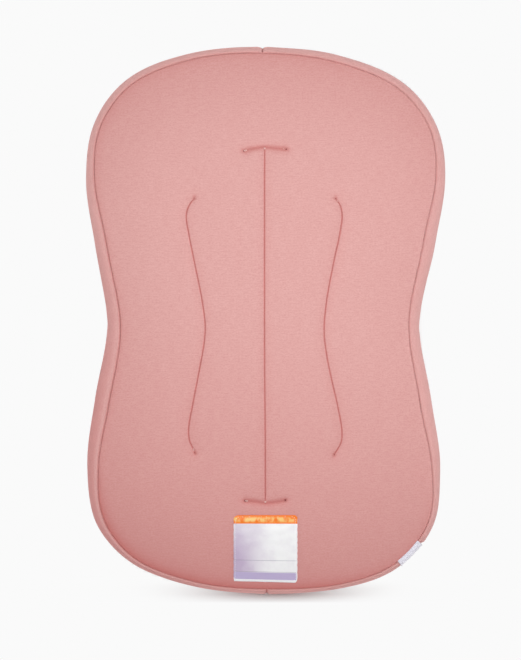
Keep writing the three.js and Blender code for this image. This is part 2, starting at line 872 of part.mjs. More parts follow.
// Pull tab, hooked through the slider's bridge on a round pin, lying towards the foot end
const tabHinge = sliderBottom - tabEyeGap - tabPin / 2;

function zipPullTab() {
  const shape = new THREE.Shape();
  const x = tabWidth / 2;
  const neck = bridgeWidth / 2 + tabEyeGap + tabArm;
  shape.moveTo(-neck, tabPin / 2);
  shape.lineTo(-neck, -tabWindow);
  shape.lineTo(-x, -tabWindow - tabArm);
  shape.lineTo(-x, tabArm - tabLength);
  shape.lineTo(tabArm - x, -tabLength);
  shape.lineTo(x - tabArm, -tabLength);
  shape.lineTo(x, tabArm - tabLength);
  shape.lineTo(x, -tabWindow - tabArm);
  shape.lineTo(neck, -tabWindow);
  shape.lineTo(neck, tabPin / 2);
  shape.closePath();
  const gap = neck - tabArm;
  const plate = new THREE.ExtrudeGeometry(shape, { depth: tabThickness, bevelEnabled: false });
  const opening = boxBetween(
    [-gap, -tabWindow, -tabThickness],
    [gap, tabPin, tabThickness],
  );
  const pin = new THREE.CylinderGeometry(tabPin / 2, tabPin / 2, 2 * neck, 10);
  pin.rotateZ(Math.PI / 2);
  const solid = solidOf(plate.translate(0, 0, -tabThickness / 2));
  return geometryOf(solid.subtract(solidOf(opening)).add(solidOf(pin))).translate(0, sliderPark, tabHinge);
}

// The cover's top
addPiece("top_panel", topPanel(), rose);
addPiece("top_quilt_wadding", topQuiltWadding(), whiteFibre);
const spineEndRoom = channelThread + clearance;
addPiece("spine_seam_thread", channelThreadBody(spineRoute(spineEndRoom)), roseThread);
addPiece("cross_seam_thread_head", channelThreadBody(headCross), roseThread);
addPiece("cross_seam_thread_foot", channelThreadBody(footCross), roseThread);
for (const [side, name] of [[-1, "left"], [1, "right"]]) {
  const contour = contourRoute(side);
  addPiece(`contour_seam_thread_${name}`, channelThreadBody(contour), roseThread);
  addPiece(`contour_tack_head_${name}`, tack(contour, "start"), roseThread);
  addPiece(`contour_tack_foot_${name}`, tack(contour, "end"), roseThread);
  const end = side < 0 ? "start" : "end";
  addPiece(`cross_tack_head_${name}`, tack(headCross, end), roseThread);
  addPiece(`cross_tack_foot_${name}`, tack(footCross, end), roseThread);
}
addPiece("label_patch", labelPatch(), whiteSatin);
addPiece("label_stitching", labelStitching(), whiteTape);

// The cover's side
addPiece("side_band_left", sideBand(-1), roseBand);
addPiece("side_band_right", sideBand(1), roseBand);
addPiece("side_tag", sideTag(), whiteTape);
addPiece("band_join_thread_head", bandJoinThread(1), roseThread);
addPiece("band_join_thread_foot", bandJoinThread(-1), roseThread);
addPiece("top_seam_thread", perimeterThread(topSeamHeight - seamThread), roseThread);
addPiece("base_seam_thread", perimeterThread(baseSeamHeight + seamThread), roseThread);

// The cover's underside and its zip
for (const [side, name] of [[-1, "left"], [1, "right"]]) {
  addPiece(`base_panel_${name}`, basePanel(side), roseBase);
  addPiece(`base_wadding_${name}`, baseWaddingHalf(side), whiteFibre);
  addPiece(`zip_tape_${name}`, zipTape(side), zipCloth);
  addPiece(`zip_coil_${name}`, zipCoil(side), zipNylon);
  addPiece(`zip_stitching_${name}`, zipStitching(side), roseThread);
  const [lowX, highX] = sided(side, zipCoilGap / 2, coilOut);
  addPiece(`zip_closed_stop_${name}`, zipStop(lowX, highX, -1), zipMetal);
}
addPiece("zip_open_stop", zipStop(-coilOut, coilOut, 1), zipMetal);
addPiece("base_join_thread_head", baseJoinThread(1), roseThread);
addPiece("base_join_thread_foot", baseJoinThread(-1), roseThread);
addPiece("zip_slider", zipSlider(), zipMetal);
addPiece("zip_pull_tab", zipPullTab(), zipMetal);

// The filling
addPiece("inner_casing_top", innerCasingTop(), casingCloth);
addPiece("inner_casing_base", innerCasingBase(), casingCloth);
addPiece("fibre_wrap_top", fibreWrapTop(), whiteFibre);
addPiece("fibre_wrap_base", fibreWrapBase(), whiteFibre);
addPiece("foam_core", foamCore(), foamBlock);

export default part;
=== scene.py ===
"""Infant lounger: a flat, waisted cushion in a zipped knit cover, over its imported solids.

Lengths are in metres. Seen from above, +Y is the head end and +X the right side.
+Z is up, and the origin is on the floor under the middle of the outline.
"""

import math

import bmesh
import bpy
import numpy as np
from bpy.props import FloatProperty, FloatVectorProperty, IntProperty, PointerProperty
from mathutils import Matrix, Vector, kdtree, noise


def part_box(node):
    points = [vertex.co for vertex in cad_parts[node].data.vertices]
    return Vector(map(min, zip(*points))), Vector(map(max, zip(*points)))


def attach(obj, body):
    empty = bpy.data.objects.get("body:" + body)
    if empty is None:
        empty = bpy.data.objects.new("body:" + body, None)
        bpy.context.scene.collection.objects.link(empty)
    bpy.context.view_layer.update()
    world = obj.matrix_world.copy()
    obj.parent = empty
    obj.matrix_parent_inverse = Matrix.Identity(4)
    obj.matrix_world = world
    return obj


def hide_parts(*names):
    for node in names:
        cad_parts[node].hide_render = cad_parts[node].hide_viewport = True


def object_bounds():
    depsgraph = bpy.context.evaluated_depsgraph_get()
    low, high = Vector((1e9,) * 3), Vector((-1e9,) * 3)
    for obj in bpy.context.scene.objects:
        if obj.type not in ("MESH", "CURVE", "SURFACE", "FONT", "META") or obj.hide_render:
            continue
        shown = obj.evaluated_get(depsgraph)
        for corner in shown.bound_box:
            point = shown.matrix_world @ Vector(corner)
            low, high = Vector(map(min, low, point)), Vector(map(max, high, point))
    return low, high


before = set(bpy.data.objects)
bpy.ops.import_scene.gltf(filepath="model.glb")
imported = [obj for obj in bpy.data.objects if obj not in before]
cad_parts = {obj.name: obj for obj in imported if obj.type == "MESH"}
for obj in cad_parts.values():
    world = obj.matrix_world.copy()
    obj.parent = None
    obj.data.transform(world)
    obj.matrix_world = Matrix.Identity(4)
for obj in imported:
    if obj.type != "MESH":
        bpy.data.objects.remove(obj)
CAD_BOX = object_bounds()

bl_info = {
    "name": "Infant Lounger",
    "version": (1, 0, 0),
    "blender": (4, 5, 0),
    "location": "3D View > Sidebar > Lounger",
    "description": "Builds the sewn cover, label, tag and zip of an infant lounger",
    "category": "Add Mesh",
}

MM = 0.001
WIDTH = CAD_BOX[1].x - CAD_BOX[0].x
LENGTH = 0.711
HEIGHT = CAD_BOX[1].z
TOP_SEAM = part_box("side_band_left")[1].z
BASE_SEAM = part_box("side_band_left")[0].z

# Outline of the right half, as shares of the half width and the half length
OUTLINE_SHARES = (
    (0, 1), (0.42, 0.9725), (0.775, 0.873), (0.954, 0.715), (1, 0.52), (0.945, 0.275),
    (0.868, -0.01), (0.935, -0.29), (0.981, -0.54), (0.935, -0.75), (0.75, -0.893),
    (0.41, -0.9775), (0, -1),
)

# Sewn lines of the top panel in millimetres, from head to foot or from left to right
SPINE = ((-1.0, 224.6), (-1.2, 190), (-1.3, 100), (-1.2, -50), (-0.4, -150), (-0.2, -237.2))
HEAD_CROSS = ((-28.1, 220), (-13.7, 223.4), (-1.2, 224.6), (12.4, 223.6), (27.2, 222.1))
FOOT_CROSS = ((-26.7, -234.2), (-13.7, -235.2), (-1.2, -237.2), (12.4, -236.1), (25.8, -233.7))
LEFT_CONTOUR = (
    (-92.2, 158.6), (-98.8, 150.1), (-102.9, 136.5), (-98.9, 108.4), (-91.1, 69.7),
    (-82.2, 25.1), (-78.2, -8.7), (-80.2, -33.1), (-84.2, -55.8), (-93, -102.3),
    (-99.5, -141.5), (-98.1, -156.5), (-90.9, -171.7),
)
RIGHT_CONTOUR = (
    (91, 158.3), (96.6, 150.1), (99.6, 136.5), (95.8, 108.4), (88.8, 76.3), (79.4, 25.1),
    (76.1, -13), (79.3, -44.1), (86.5, -79.6), (94.1, -112.3), (99.7, -143.5),
    (98.8, -158.5), (89.6, -174.6),
)

# How far the cover leans sideways at places along its length, in millimetres
LEAN = (
    (-362, 3), (-346, 4.6), (-330, 2.4), (-310, 0.4), (-283, 0), (-252, -0.8), (-221, -2),
    (-158, -2.7), (-96, -3.2), (-33, -3.2), (13, -2.5), (76, -0.9), (138, 0), (201, 0.3),
    (263, -0.6), (295, -1.8), (326, -3.2), (341, -4.4), (362, -4.4),
)

# How much wider the band shows round the outline: degrees clockwise from the head, millimetres
BAND_WIDENING = (
    (-180, -0.6), (-165, -0.4), (-157, 0), (-150, 1.3), (-142, 3.3), (-135, 2.8),
    (-127, 3.3), (-120, 5), (-112, 5.4), (-105, 4.6), (-97, 3.4), (-90, 2), (-82, 0.7),
    (-75, 0.2), (-67, 1.2), (-60, 0.7), (-52, -0.4), (-42, -1), (-30, 0), (-15, -0.7),
    (-7, -1.4), (0, -1), (8, 0), (15, 0.7), (23, 1.3), (30, 1.6), (38, 0.7), (45, 0.2),
    (53, 1.3), (60, 2.7), (67, 1.9), (75, 0.2), (83, -0.7), (97, -1), (105, 0), (113, 1.3),
    (120, 1.9), (128, -0.2), (135, -1.7), (143, 0.6), (150, 0), (158, -0.8), (180, -0.6),
)

# How far the joins of the band lean at the head and at the foot, in millimetres
JOIN_LEAN = (-3.9, 1.7)

# How much the head and foot ends tilt: rise towards the right side, per length across
END_TILT = (-0.006, -0.012)

CROWN_FLATNESS = 4
CROWN_SHOULDER = 2.2
RING_SAMPLES = 2880

# Small gathers of the cloth, each with its wave length, its height and its reach
LINE_GATHERS = (0.0093, 0.00013, 0.0055)
LABEL_GATHERS = (0.0112, 0.00022, 0.006)
SEAM_GATHER_HEIGHT = 0.00016

# Dimples at the ends of the sewn lines: their depth, and how far they reach
CROSS_DIMPLE = 0.0008
LINE_DIMPLE = 0.0005
DIMPLE_REACH = 0.0023

# Where the underside leaves the floor, as a share of the way out to the base seam
TURN_UP_SHARE = 0.925
TURN_UP_POWER = 2.8

# Length of the band from the top seam down to the base seam, along the cloth
BAND_DROP = 0.082
# Half of the gap that is left where two edges of cloth meet
EDGE_GAP = 0.00018
# How deep the cloth sinks at a join of the band, and how far to each side of it
FOOT_JOIN_REACH = 0.0014
HEAD_JOIN_REACH = 0.0010
# How far the edges of the base panels stand back from the middle of the zip
ZIP_FLANGE = 0.009
# Vertices that are closer than this are one vertex
WELD = 1e-6
# No depth counts as smaller than this in a division
LEAST_DEPTH = 1e-6

UP = np.array([0.0, 0.0, 1.0])
FLOOR_LEVEL = -0.0004


def metres(*millimetres):
    """Lengths written in millimetres."""
    return np.array(millimetres) * MM


def linear(red, green, blue):
    """A colour written in 0 to 255 as the linear values that a shader takes."""
    shares = np.array([red, green, blue]) / 255
    bright = ((shares + 0.055) / 1.055) ** 2.4
    return tuple(np.where(shares <= 0.04045, shares / 12.92, bright).tolist())


def size(name, description, default, low=0.0, high=1.0):
    """A length of the add-on, in metres."""
    return FloatProperty(
        name=name,
        description=description,
        default=default,
        min=low,
        max=high,
        precision=5,
        subtype="DISTANCE",
        unit="LENGTH",
    )


def share(name, description, default):
    """A share of the add-on, from 0 to 1."""
    return FloatProperty(
        name=name, description=description, default=default, min=0.0, max=1.0, subtype="FACTOR"
    )


def colour(name, description, *shade):
    """A colour of the add-on, written in 0 to 255."""
    return FloatVectorProperty(
        name=name,
        description=description,
        default=linear(*shade),
        size=3,
        min=0.0,
        max=1.0,
        subtype="COLOR",
    )


class LoungerCoverSizes(bpy.types.PropertyGroup):
    """Sizes of the cover and of its seams."""

    waist_bulge: size(
        "Waist bulge", "How far the band stands out past its seams at the waist", 0.0152
    )
    end_bulge: size("End bulge", "How far the band stands out past its seams at both ends", 0.0083)
    head_bulge: size("Head bulge", "How much further the band stands out at the head end", 0.0010)
    foot_bulge: size("Foot bulge", "How much less the band stands out at the foot end", 0.0016)
    fabric: size("Fabric thickness", "Thickness of the padded knit", 0.0022)
    groove_depth: size("Groove depth", "How deep a sewn line cuts into the top panel", 0.0014)
    groove_reach: size("Groove half width", "Half width of the cut of a sewn line", 0.00075)
    soft_reach: size("Soft groove half width", "Half width of the dip of a cross seam", 0.0033)
    valley_depth: size("Valley depth", "How far the padding dips towards a sewn line", 0.0010)
    valley_reach: size("Valley half width", "Half width of the dip beside a sewn line", 0.0075)
    lip_height: size("Lip height", "How far the fabric rises beside a sewn line", 0.00022)
    seam_crease: size("Seam crease", "Depth of the crease along the perimeter seams", 0.0006)
    head_notch: size("Head notch", "How far the band is drawn in at its head join", 0.0018)
    foot_notch: size("Foot notch", "How far the band is drawn in at its foot join", 0.0008)
    notch_reach: size("Notch half width", "Half width of the dip at a band join", 0.0068)
    tag_pull: size("Tag pull", "How far the side tag draws the band in", 0.0021)
    swell_limit: size("Swell limit", "The furthest that the padding may swell", 0.0032)
    grid_step: size("Mesh step", "Spacing of the mesh on the panels", 0.0034, 0.001, 0.02)


class LoungerTrimSizes(bpy.types.PropertyGroup):
    """Sizes of the threads, the label, the side tag and the zip."""

    stitch: size("Stitch length", "Length of one stitch of a sewn line", 0.0031, 0.001, 0.01)
    stitch_gap: size("Stitch gap", "Gap between two stitches", 0.0006)
    thread: size("Thread radius", "Radius of the sewing thread", 0.00034)
    tack_thread: size("Tack radius", "Radius of the thread of a tack", 0.0005)
    label_width: size("Label width", "Width of the sewn label patch", 0.083)
    label_height: size("Label height", "Height of the sewn label patch", 0.088)
    label_thickness: size("Label thickness", "Thickness of the label satin", 0.0004)
    label_corner: size("Label corner", "Cut at each lower corner of the label", 0.0028)
    tag_width: size("Tag width", "Width of the side tag along the seam", 0.0394)
    tag_drop: size("Tag drop", "How far the side tag hangs down the band", 0.030)
    coil_pitch: size("Coil pitch", "Spacing of the turns of the zip coil", 0.0014, 0.0008, 0.005)
    coil_wire: size("Coil wire", "Radius of the wire of the zip coil", 0.00034)


class LoungerColours(bpy.types.PropertyGroup):
    """Colours of the fabrics, threads and metal, and of the painted shade and highlight on them.
    """

    cover: colour("Cover knit", "Colour of the top panel and the band", 229, 173, 169)
    # Painted shade: the colour that the knit is mixed toward in seams, grooves, creases and folds
    shade: colour("Seam shade", "Colour that the knit takes deep in a seam", 198, 88, 82)
    # Painted shade, not a colour of the knit: what the knit is mixed toward where light falls off,
    # towards the perimeter, the foot and the left, and on the far side of the band
    edge: colour("Edge shade", "Colour of the knit where the padding thins out", 207, 129, 126)
    base: colour("Base knit", "Colour of the underside", 218, 163, 159)
    thread: colour("Thread", "Colour of the sewing thread", 196, 124, 121)
    tack: colour("Tack thread", "Colour of the pale thread of the loops and knots", 238, 202, 196)
    # Painted shade in part: the bar tacks are made dark where the dimples at the line ends fall
    # into shade
    bar: colour("Bar tack thread", "Colour of the deep thread of the bar tacks", 132, 60, 61)
    header: colour("Label header", "Colour of the band across the top of the label", 250, 124, 0)
    # Painted highlight: the paler streaks where the header satin catches the light
    header_painted_highlight: colour(
        "Header highlight", "Paler colour where the header satin catches light", 255, 212, 128
    )
    field: colour("Label field", "Colour of the main field of the label", 255, 255, 255)
    # Painted shade of the label field at its left and lower side, and the lavender of the printed
    # footer
    lavender_shade_and_print: colour("Field shade", "Lavender cast of the label field", 200, 180, 208)
    footer: colour("Label footer", "Colour of the band at the foot of the label", 192, 178, 218)
    rule: colour("Label rule", "Colour of the thin rules of the label", 150, 142, 164)
    tag: colour("Side tag", "Colour of the side tag", 245, 242, 255)
    zip_cloth: colour("Zip tape", "Colour of the zip tapes", 207, 150, 146)
    zip_coil: colour("Zip coil", "Colour of the nylon coils", 214, 160, 156)
    metal: colour("Metal", "Colour of the slider, the pull tab and the stops", 190, 190, 194)
    casing: colour("Casing", "Colour of the inner casing", 238, 235, 230)
    fibre: colour("Fibre", "Colour of the fibre fill", 245, 243, 238)
    foam: colour("Foam", "Colour of the foam core", 233, 223, 184)
    floor: colour("Floor", "Colour of the floor and the backdrop", 250, 250, 250)


class LoungerStudio(bpy.types.PropertyGroup):
    """Camera, lamps and backdrop."""

    camera_height: size("Camera height", "Height of the camera over the floor", 18.0, 1.0, 20.0)
    camera_x: size("Camera across", "Place of the camera across the lounger", -0.0065, -1.0, 1.0)
    camera_y: size("Camera along", "Place of the camera along the lounger", -0.0126, -1.0, 1.0)
    view_width: size("View width", "Width of floor that the picture takes in", 0.6802, 0.2, 3.0)
    key_share: share("Key light", "Share of the light that the soft key lamp gives", 0.68)
    shadow_share: share("Shadow", "How much of the shadow beside the foot end shows", 1.0)
    key_x: size("Key across", "Place of the key lamp across the lounger", 0.08, -5.0, 5.0)
    key_y: size("Key along", "Place of the key lamp along the lounger", 0.11, -5.0, 5.0)
    key_height: size("Key height", "Height of the key lamp over the floor", 1.4, 0.3, 8.0)
    key_size: size("Key size", "Width of the soft key lamp", 0.4, 0.01, 4.0)
    tent_falloff: FloatProperty(
        name="Tent falloff",
        description="How quickly the light tent dims from the horizon up",
        default=2.7,
        min=0.0,
        max=6.0,
    )
    sim_frames: IntProperty(
        name="Padding frames",
        description="Frames of the padding simulation",
        default=20,
        min=1,
        max=60,
    )


def smooth(low, high, value):
    """A soft step from 0 at one value to 1 at another."""
    step = np.clip((value - low) / (high - low), 0.0, 1.0)
    return step * step * (3.0 - 2.0 * step)


def bump(distance, reach):
    """A soft rise that is 1 at no distance and fades past its reach."""
    return np.exp(-((distance / reach) ** 2))


def curve_through(points, is_loop, per_span=60):
    """A centripetal curve through points, closed or open."""
    points = np.asarray(points, float)
    if is_loop:
        padded = np.vstack([points[-1], points, points[0], points[1]])
    else:
        padded = np.vstack([2 * points[0] - points[1], points, 2 * points[-1] - points[-2]])
    steps = np.linspace(0, 1, per_span, endpoint=False)[:, None]
    spans = []
    for a, b, c, d in zip(padded, padded[1:], padded[2:], padded[3:]):
        before, span, after = (
            np.sqrt(np.linalg.norm(q - p)) for p, q in ((a, b), (b, c), (c, d))
        )
        start = ((b - a) / before - (c - a) / (before + span) + (c - b) / span) * span
        end = ((c - b) / span - (d - b) / (span + after) + (d - c) / after) * span
        square = 3 * (c - b) - 2 * start - end
        cube = 2 * (b - c) + start + end
        spans.append(b + start * steps + square * steps**2 + cube * steps**3)
    line = np.vstack(spans)
    return line if is_loop else np.vstack([line, points[-1]])


def spaced(line, count, is_loop=False):
    """The points of a line respaced evenly along its length."""
    line = np.asarray(line, float)
    ring = np.vstack([line, line[0]]) if is_loop else line
    along = np.concatenate([[0], np.cumsum(np.linalg.norm(np.diff(ring, axis=0), axis=1))])
    places = np.linspace(0, along[-1], count, endpoint=not is_loop)
    return np.column_stack([np.interp(places, along, ring[:, k]) for k in range(ring.shape[1])])


def softened(values, width, ends):
    """Values smoothed over some neighbours, past both ends as np.pad fills them."""
    kernel = np.hanning(width) / np.hanning(width).sum()
    return np.convolve(np.pad(values, width // 2, ends), kernel, "valid")


def bulge_at(y):
    """How far the band stands out past its seams at a place along the cover."""
    sizes = bpy.context.scene.lounger_cover
    reach = np.clip(y / (LENGTH / 2), -1, 1)
    at_waist = (sizes.waist_bulge - sizes.end_bulge) * (1 - reach**2) ** 2
    at_ends = sizes.head_bulge * smooth(0.55, 0.9, reach)
    at_ends -= sizes.foot_bulge * smooth(0.5, 0.8, -reach)
    return sizes.end_bulge + at_waist + at_ends


def widening_at(x, y):
    """How much wider the band shows in the direction of a place, smoothed along the table."""
    degrees, extra = np.array(BAND_WIDENING, float).T
    around = np.arange(-180, 180, 1.0)
    values = softened(np.interp(around, degrees, extra, period=360), 13, "wrap") * MM
    return np.interp(np.degrees(np.arctan2(x, y)), around, values, period=360)


class Outline:
    """The outline of the cushion seen from above, clockwise from the head centre."""

    def __init__(self):
        right = np.array(OUTLINE_SHARES) * (WIDTH / 2, LENGTH / 2)
        left = right[1:-1][::-1] * (-1, 1)
        loop = spaced(curve_through(np.vstack([right, left]), True), RING_SAMPLES, True)
        loop[:, 0] *= WIDTH / 2 / loop[:, 0].max()
        ahead = np.roll(loop, -1, 0) - np.roll(loop, 1, 0)
        ahead /= np.linalg.norm(ahead, axis=1)[:, None]
        self.edge = loop
        self.out = np.column_stack([-ahead[:, 1], ahead[:, 0]])
        self.widening = widening_at(loop[:, 0], loop[:, 1])
        self.bulge = bulge_at(loop[:, 1]) + self.widening
        self.seam = loop - self.out * self.bulge[:, None]
        self.angle = np.arctan2(self.seam[:, 0], self.seam[:, 1])
        self.radius = np.linalg.norm(self.seam, axis=1)
        self.length = np.linalg.norm(np.diff(np.vstack([loop, loop[:1]]), axis=0), axis=1).sum()
        sizes = bpy.context.scene.lounger_cover
        nearness = np.clip(1 - np.abs(loop[:, 0]) / sizes.notch_reach, 0, 1)
        depth = np.where(loop[:, 1] > 0, sizes.head_notch, sizes.foot_notch)
        self.notch = depth * nearness**1.5
        low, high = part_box("side_tag")
        middle = (np.array(low) + np.array(high))[:2] / 2
        self.tag_place = np.argmin(np.linalg.norm(self.seam - middle, axis=1)) / RING_SAMPLES
        away = np.abs(np.arange(RING_SAMPLES) / RING_SAMPLES - self.tag_place) * self.length
        half = bpy.context.scene.lounger_trim.tag_width / 2
        self.pull = sizes.tag_pull * (1 - smooth(0.94 * half, 1.14 * half, away))

    def at(self, along, values):
        """Values of the outline at shares of its length."""
        places = np.arange(RING_SAMPLES) / RING_SAMPLES
        values = values.reshape(RING_SAMPLES, -1)
        found = [np.interp(along, places, column, period=1.0) for column in values.T]
        return np.stack(found, -1).squeeze()

    def nearest(self, x, y):
        """Share of the length of the outline whose seam is nearest to each place."""
        found = []
        for point in np.column_stack([x, y]):
            index = np.argmin(((self.seam - point) ** 2).sum(1))
            way = self.seam[(index + 1) % RING_SAMPLES] - self.seam[index - 1]
            found.append(index + 2 * (point - self.seam[index]) @ way / (way @ way))
        return np.array(found) / RING_SAMPLES % 1.0

    def reach(self, x, y):
        """Distance from the middle to the perimeter seam in the direction of a place."""
        return np.interp(np.arctan2(x, y), self.angle, self.radius, period=2 * np.pi)

    def seam_share(self, x, y):
        """How far out a place is, from 0 in the middle to 1 at the perimeter seam."""
        return np.hypot(x, y) / self.reach(x, y)

    def inside(self, along, inset):
        """Places moved in from the perimeter seam."""
        return self.at(along, self.seam) - self.at(along, self.out) * np.reshape(inset, (-1, 1))

    def right_half(self, inset):
        """The right half of a ring inside the seam, from head to foot, and the ways out of it."""
        ring = self.seam - self.out * inset
        half = ring[: RING_SAMPLES // 2 + 1].copy()
        half[0, 0] = half[-1, 0] = 0
        return half, self.out[: RING_SAMPLES // 2 + 1]


class SewnLine:
    """A sewn line of the top panel: where it runs, and how sharp its groove is."""

    def __init__(self, corners, is_soft, count):
        self.points = spaced(curve_through(np.array(corners) * MM, False), count)
        self.is_soft = is_soft

    def distance(self, x, y):
        """Distance to the line, and how far along it the nearest place is."""
        best = np.full(np.shape(x), 1.0)
        along = np.zeros(np.shape(x))
        covered = 0.0
        for a, b in zip(self.points, self.points[1:]):
            span = b - a
            reach = np.linalg.norm(span)
            part = np.clip(((x - a[0]) * span[0] + (y - a[1]) * span[1]) / reach**2, 0, 1)
            gap = np.hypot(x - a[0] - part * span[0], y - a[1] - part * span[1])
            nearer = gap < best
            best = np.where(nearer, gap, best)
            along = np.where(nearer, covered + part * reach, along)
            covered += reach
        return best, along


def wander(x, y, scale, seed):
    """Gentle unevenness of hand-made padding, from -1 to 1."""
    return np.array([noise.noise(Vector((a / scale, b / scale, seed))) for a, b in zip(x, y)])


class Shape:
    """The surfaces of the cover, before the padding swells and the cover leans."""

    def __init__(self):
        self.outline = Outline()
        self.lines = {
            "spine": SewnLine(SPINE, False, 60),
            "head_cross": SewnLine(HEAD_CROSS, True, 16),
            "foot_cross": SewnLine(FOOT_CROSS, True, 16),
            "left_contour": SewnLine(LEFT_CONTOUR, False, 80),
            "right_contour": SewnLine(RIGHT_CONTOUR, False, 80),
        }
        self.swell_tree = None
        self.swell_moves = None

    def dimples(self):
        """Ends of the sewn lines, each with the depth of its dimple."""
        ends = []
        for name, line in self.lines.items():
            for place in (line.points[0], line.points[-1]):
                ends.append((place, CROSS_DIMPLE if name.endswith("cross") else LINE_DIMPLE))
        return ends

    def crown(self, x, y):
        """Height of the top panel without its sewn lines."""
        out = np.clip(self.outline.seam_share(x, y), 0, 1)
        rise = (1 - out**CROWN_FLATNESS) ** (1 / CROWN_SHOULDER)
        return TOP_SEAM + (HEIGHT - TOP_SEAM) * rise

    def relief(self, x, y):
        """How far the sewn lines draw the top panel down, and how deep in a seam each place is, as
        painted shade.
        """
        sizes = bpy.context.scene.lounger_cover
        groove, valley, lip, pucker = np.zeros((4, *np.shape(x)))
        pitch, height, gathered = LINE_GATHERS
        for line in self.lines.values():
            gap, along = line.distance(x, y)
            reach = sizes.soft_reach if line.is_soft else sizes.groove_reach
            depth = sizes.groove_depth * (0.8 if line.is_soft else 1)
            groove = np.maximum(groove, depth * bump(gap, reach))
            valley = np.maximum(valley, sizes.valley_depth * bump(gap, sizes.valley_reach))
            if not line.is_soft:
                lip = np.maximum(lip, sizes.lip_height * bump(gap - 2.6 * reach, reach * 1.2))
            wave = np.sin(along * 2 * np.pi / pitch + 2.2 * np.sin(along * 61))
            pucker += height * wave * bump(gap, gathered)
        for place, depth in self.dimples():
            near = bump(np.hypot(x - place[0], y - place[1]), DIMPLE_REACH)
            valley = valley + depth * near
            groove = np.maximum(groove, 1.1 * sizes.groove_depth * near)
        edge = self.label_gap(x, y)
        pitch, height, gathered = LABEL_GATHERS
        wave = np.sin((x + y) * 2 * np.pi / pitch + 1.7 * np.sin(x * 130))
        lift = -(valley + groove) + lip + pucker - 0.0005 * bump(edge, 0.0028)
        lift += height * wave * bump(edge, gathered) * (edge > 0)
        # Painted shade in the grooves and valleys of the sewn lines and at the dimples at their
        # ends
        shade = 1.15 * groove / max(sizes.groove_depth, LEAST_DEPTH)
        return lift, shade + 0.16 * valley / max(sizes.valley_depth, LEAST_DEPTH)

    def label_gap(self, x, y):
        """Distance outside the label patch, negative on it."""
        trim = bpy.context.scene.lounger_trim
        low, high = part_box("label_patch")
        middle = (low.y + high.y) / 2
        across = np.abs(x) - trim.label_width / 2
        along = np.abs(y - middle) - trim.label_height / 2
        outside = np.hypot(np.maximum(across, 0), np.maximum(along, 0))
        return outside + np.minimum(np.maximum(across, along), 0)

    def top(self, x, y):
        """Height of the top panel with its sewn lines."""
        return self.crown(x, y) + self.relief(x, y)[0]

    def band(self, along, turn, stand_off=0.0):
        """A place on the side band: along it, and from 0 at the top seam to 1 at the base seam."""
        sizes = bpy.context.scene.lounger_cover
        angle = np.pi * turn
        reach = np.clip(np.sin(angle), 0, 1) ** 0.8
        seam, out, bulge, notch, pull = (
            self.outline.at(along, getattr(self.outline, name))
            for name in ("seam", "out", "bulge", "notch", "pull")
        )
        draw = notch * (0.25 + 0.75 * reach) + pull * reach
        middle, half = (TOP_SEAM + BASE_SEAM) / 2, (TOP_SEAM - BASE_SEAM) / 2
        proud = bulge * reach
        crease = sizes.seam_crease * bump(proud, 0.0009) - 0.0004 * bump(proud - 0.0024, 0.0012)
        z = middle + (half - crease) * np.cos(angle)
        flat = seam + out * (proud - draw)[:, None]
        points = np.column_stack([flat, z])
        away = np.column_stack([out * reach[:, None], np.cos(angle)])
        away /= np.linalg.norm(away, axis=1)[:, None]
        return points + np.reshape(stand_off, (-1, 1)) * away

    def base(self, x, y):
        """Height of the underside: flat, and turned up to the base seam and to the zip."""
        sizes = bpy.context.scene.lounger_cover
        out = np.clip(self.outline.seam_share(x, y), 0, 1)
        rise = np.clip((out - TURN_UP_SHARE) / 0.075, 0, 1) ** TURN_UP_POWER
        turned = (BASE_SEAM + sizes.seam_crease) * rise
        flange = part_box("zip_stitching_left")[1].z + 0.00035
        pocket_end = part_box("zip_stitching_left")[1].y
        across = 1 - smooth(0.0118, 0.0145, np.abs(x))
        within = 1 - smooth(pocket_end - 0.0024, pocket_end + 0.0004, np.abs(y))
        join = 0.0011 * bump(x, 0.0014) * (1 - within)
        return np.maximum(turned, flange * across * within) + join

    def lean(self, points):
        """Points moved sideways as the whole cover leans."""
        table = np.array(LEAN) * MM
        places = np.linspace(table[0, 0], table[-1, 0], 400)
        shifts = np.interp(places, table[:, 0], table[:, 1])
        shifts = softened(shifts, 25, "edge")
        moved = points.copy()
        x, y = points[:, 0], points[:, 1]
        joined = np.where(y > 0, *(np.array(JOIN_LEAN) * MM)) * smooth(0.27, 0.34, np.abs(y))
        leaning = joined + (np.interp(y, places, shifts) - joined) * smooth(0.02, 0.11, np.abs(x))
        weight = smooth(0.35, 0.95, self.outline.seam_share(x, y))
        tilt = np.where(y > 0, *END_TILT) * smooth(0.24, 0.34, np.abs(y))
        moved[:, 0] += weight * leaning
        moved[:, 1] += weight * tilt * np.clip(x, -0.14, 0.14)
        return moved

    def settle(self, points, is_leaning=True):
        """Points of the cover after the padding swells and the cover leans."""
        points = np.asarray(points, float).reshape(-1, 3)
        if self.swell_tree is not None:
            moves = np.zeros_like(points)
            for i, point in enumerate(points):
                found = self.swell_tree.find_n(point, 6)
                weights = np.array([1 / (gap + 0.0008) ** 2 for _, _, gap in found])
                near = self.swell_moves[[index for _, index, _ in found]]
                moves[i] = weights @ near / weights.sum()
            points = points + moves
        return self.lean(points) if is_leaning else points


shape = None


# Node groups and materials


class Value:
    """A number inside a node tree, which takes the usual signs of sums."""

    def __init__(self, tree, socket):
        self.tree = tree
        self.socket = socket

    def __add__(self, other):
        return self.tree.math("ADD", self, other)

    def __sub__(self, other):
        return self.tree.math("SUBTRACT", self, other)

    def __rsub__(self, other):
        return self.tree.math("SUBTRACT", other, self)

    def __mul__(self, other):
        return self.tree.math("MULTIPLY", self, other)

    def __truediv__(self, other):
        return self.tree.math("DIVIDE", self, other)

    def __rtruediv__(self, other):
        return self.tree.math("DIVIDE", other, self)

    def __gt__(self, other):
        return self.tree.math("GREATER_THAN", self, other)

    def __lt__(self, other):
        return self.tree.math("LESS_THAN", self, other)

    def __abs__(self):
        return self.tree.math("ABSOLUTE", self)


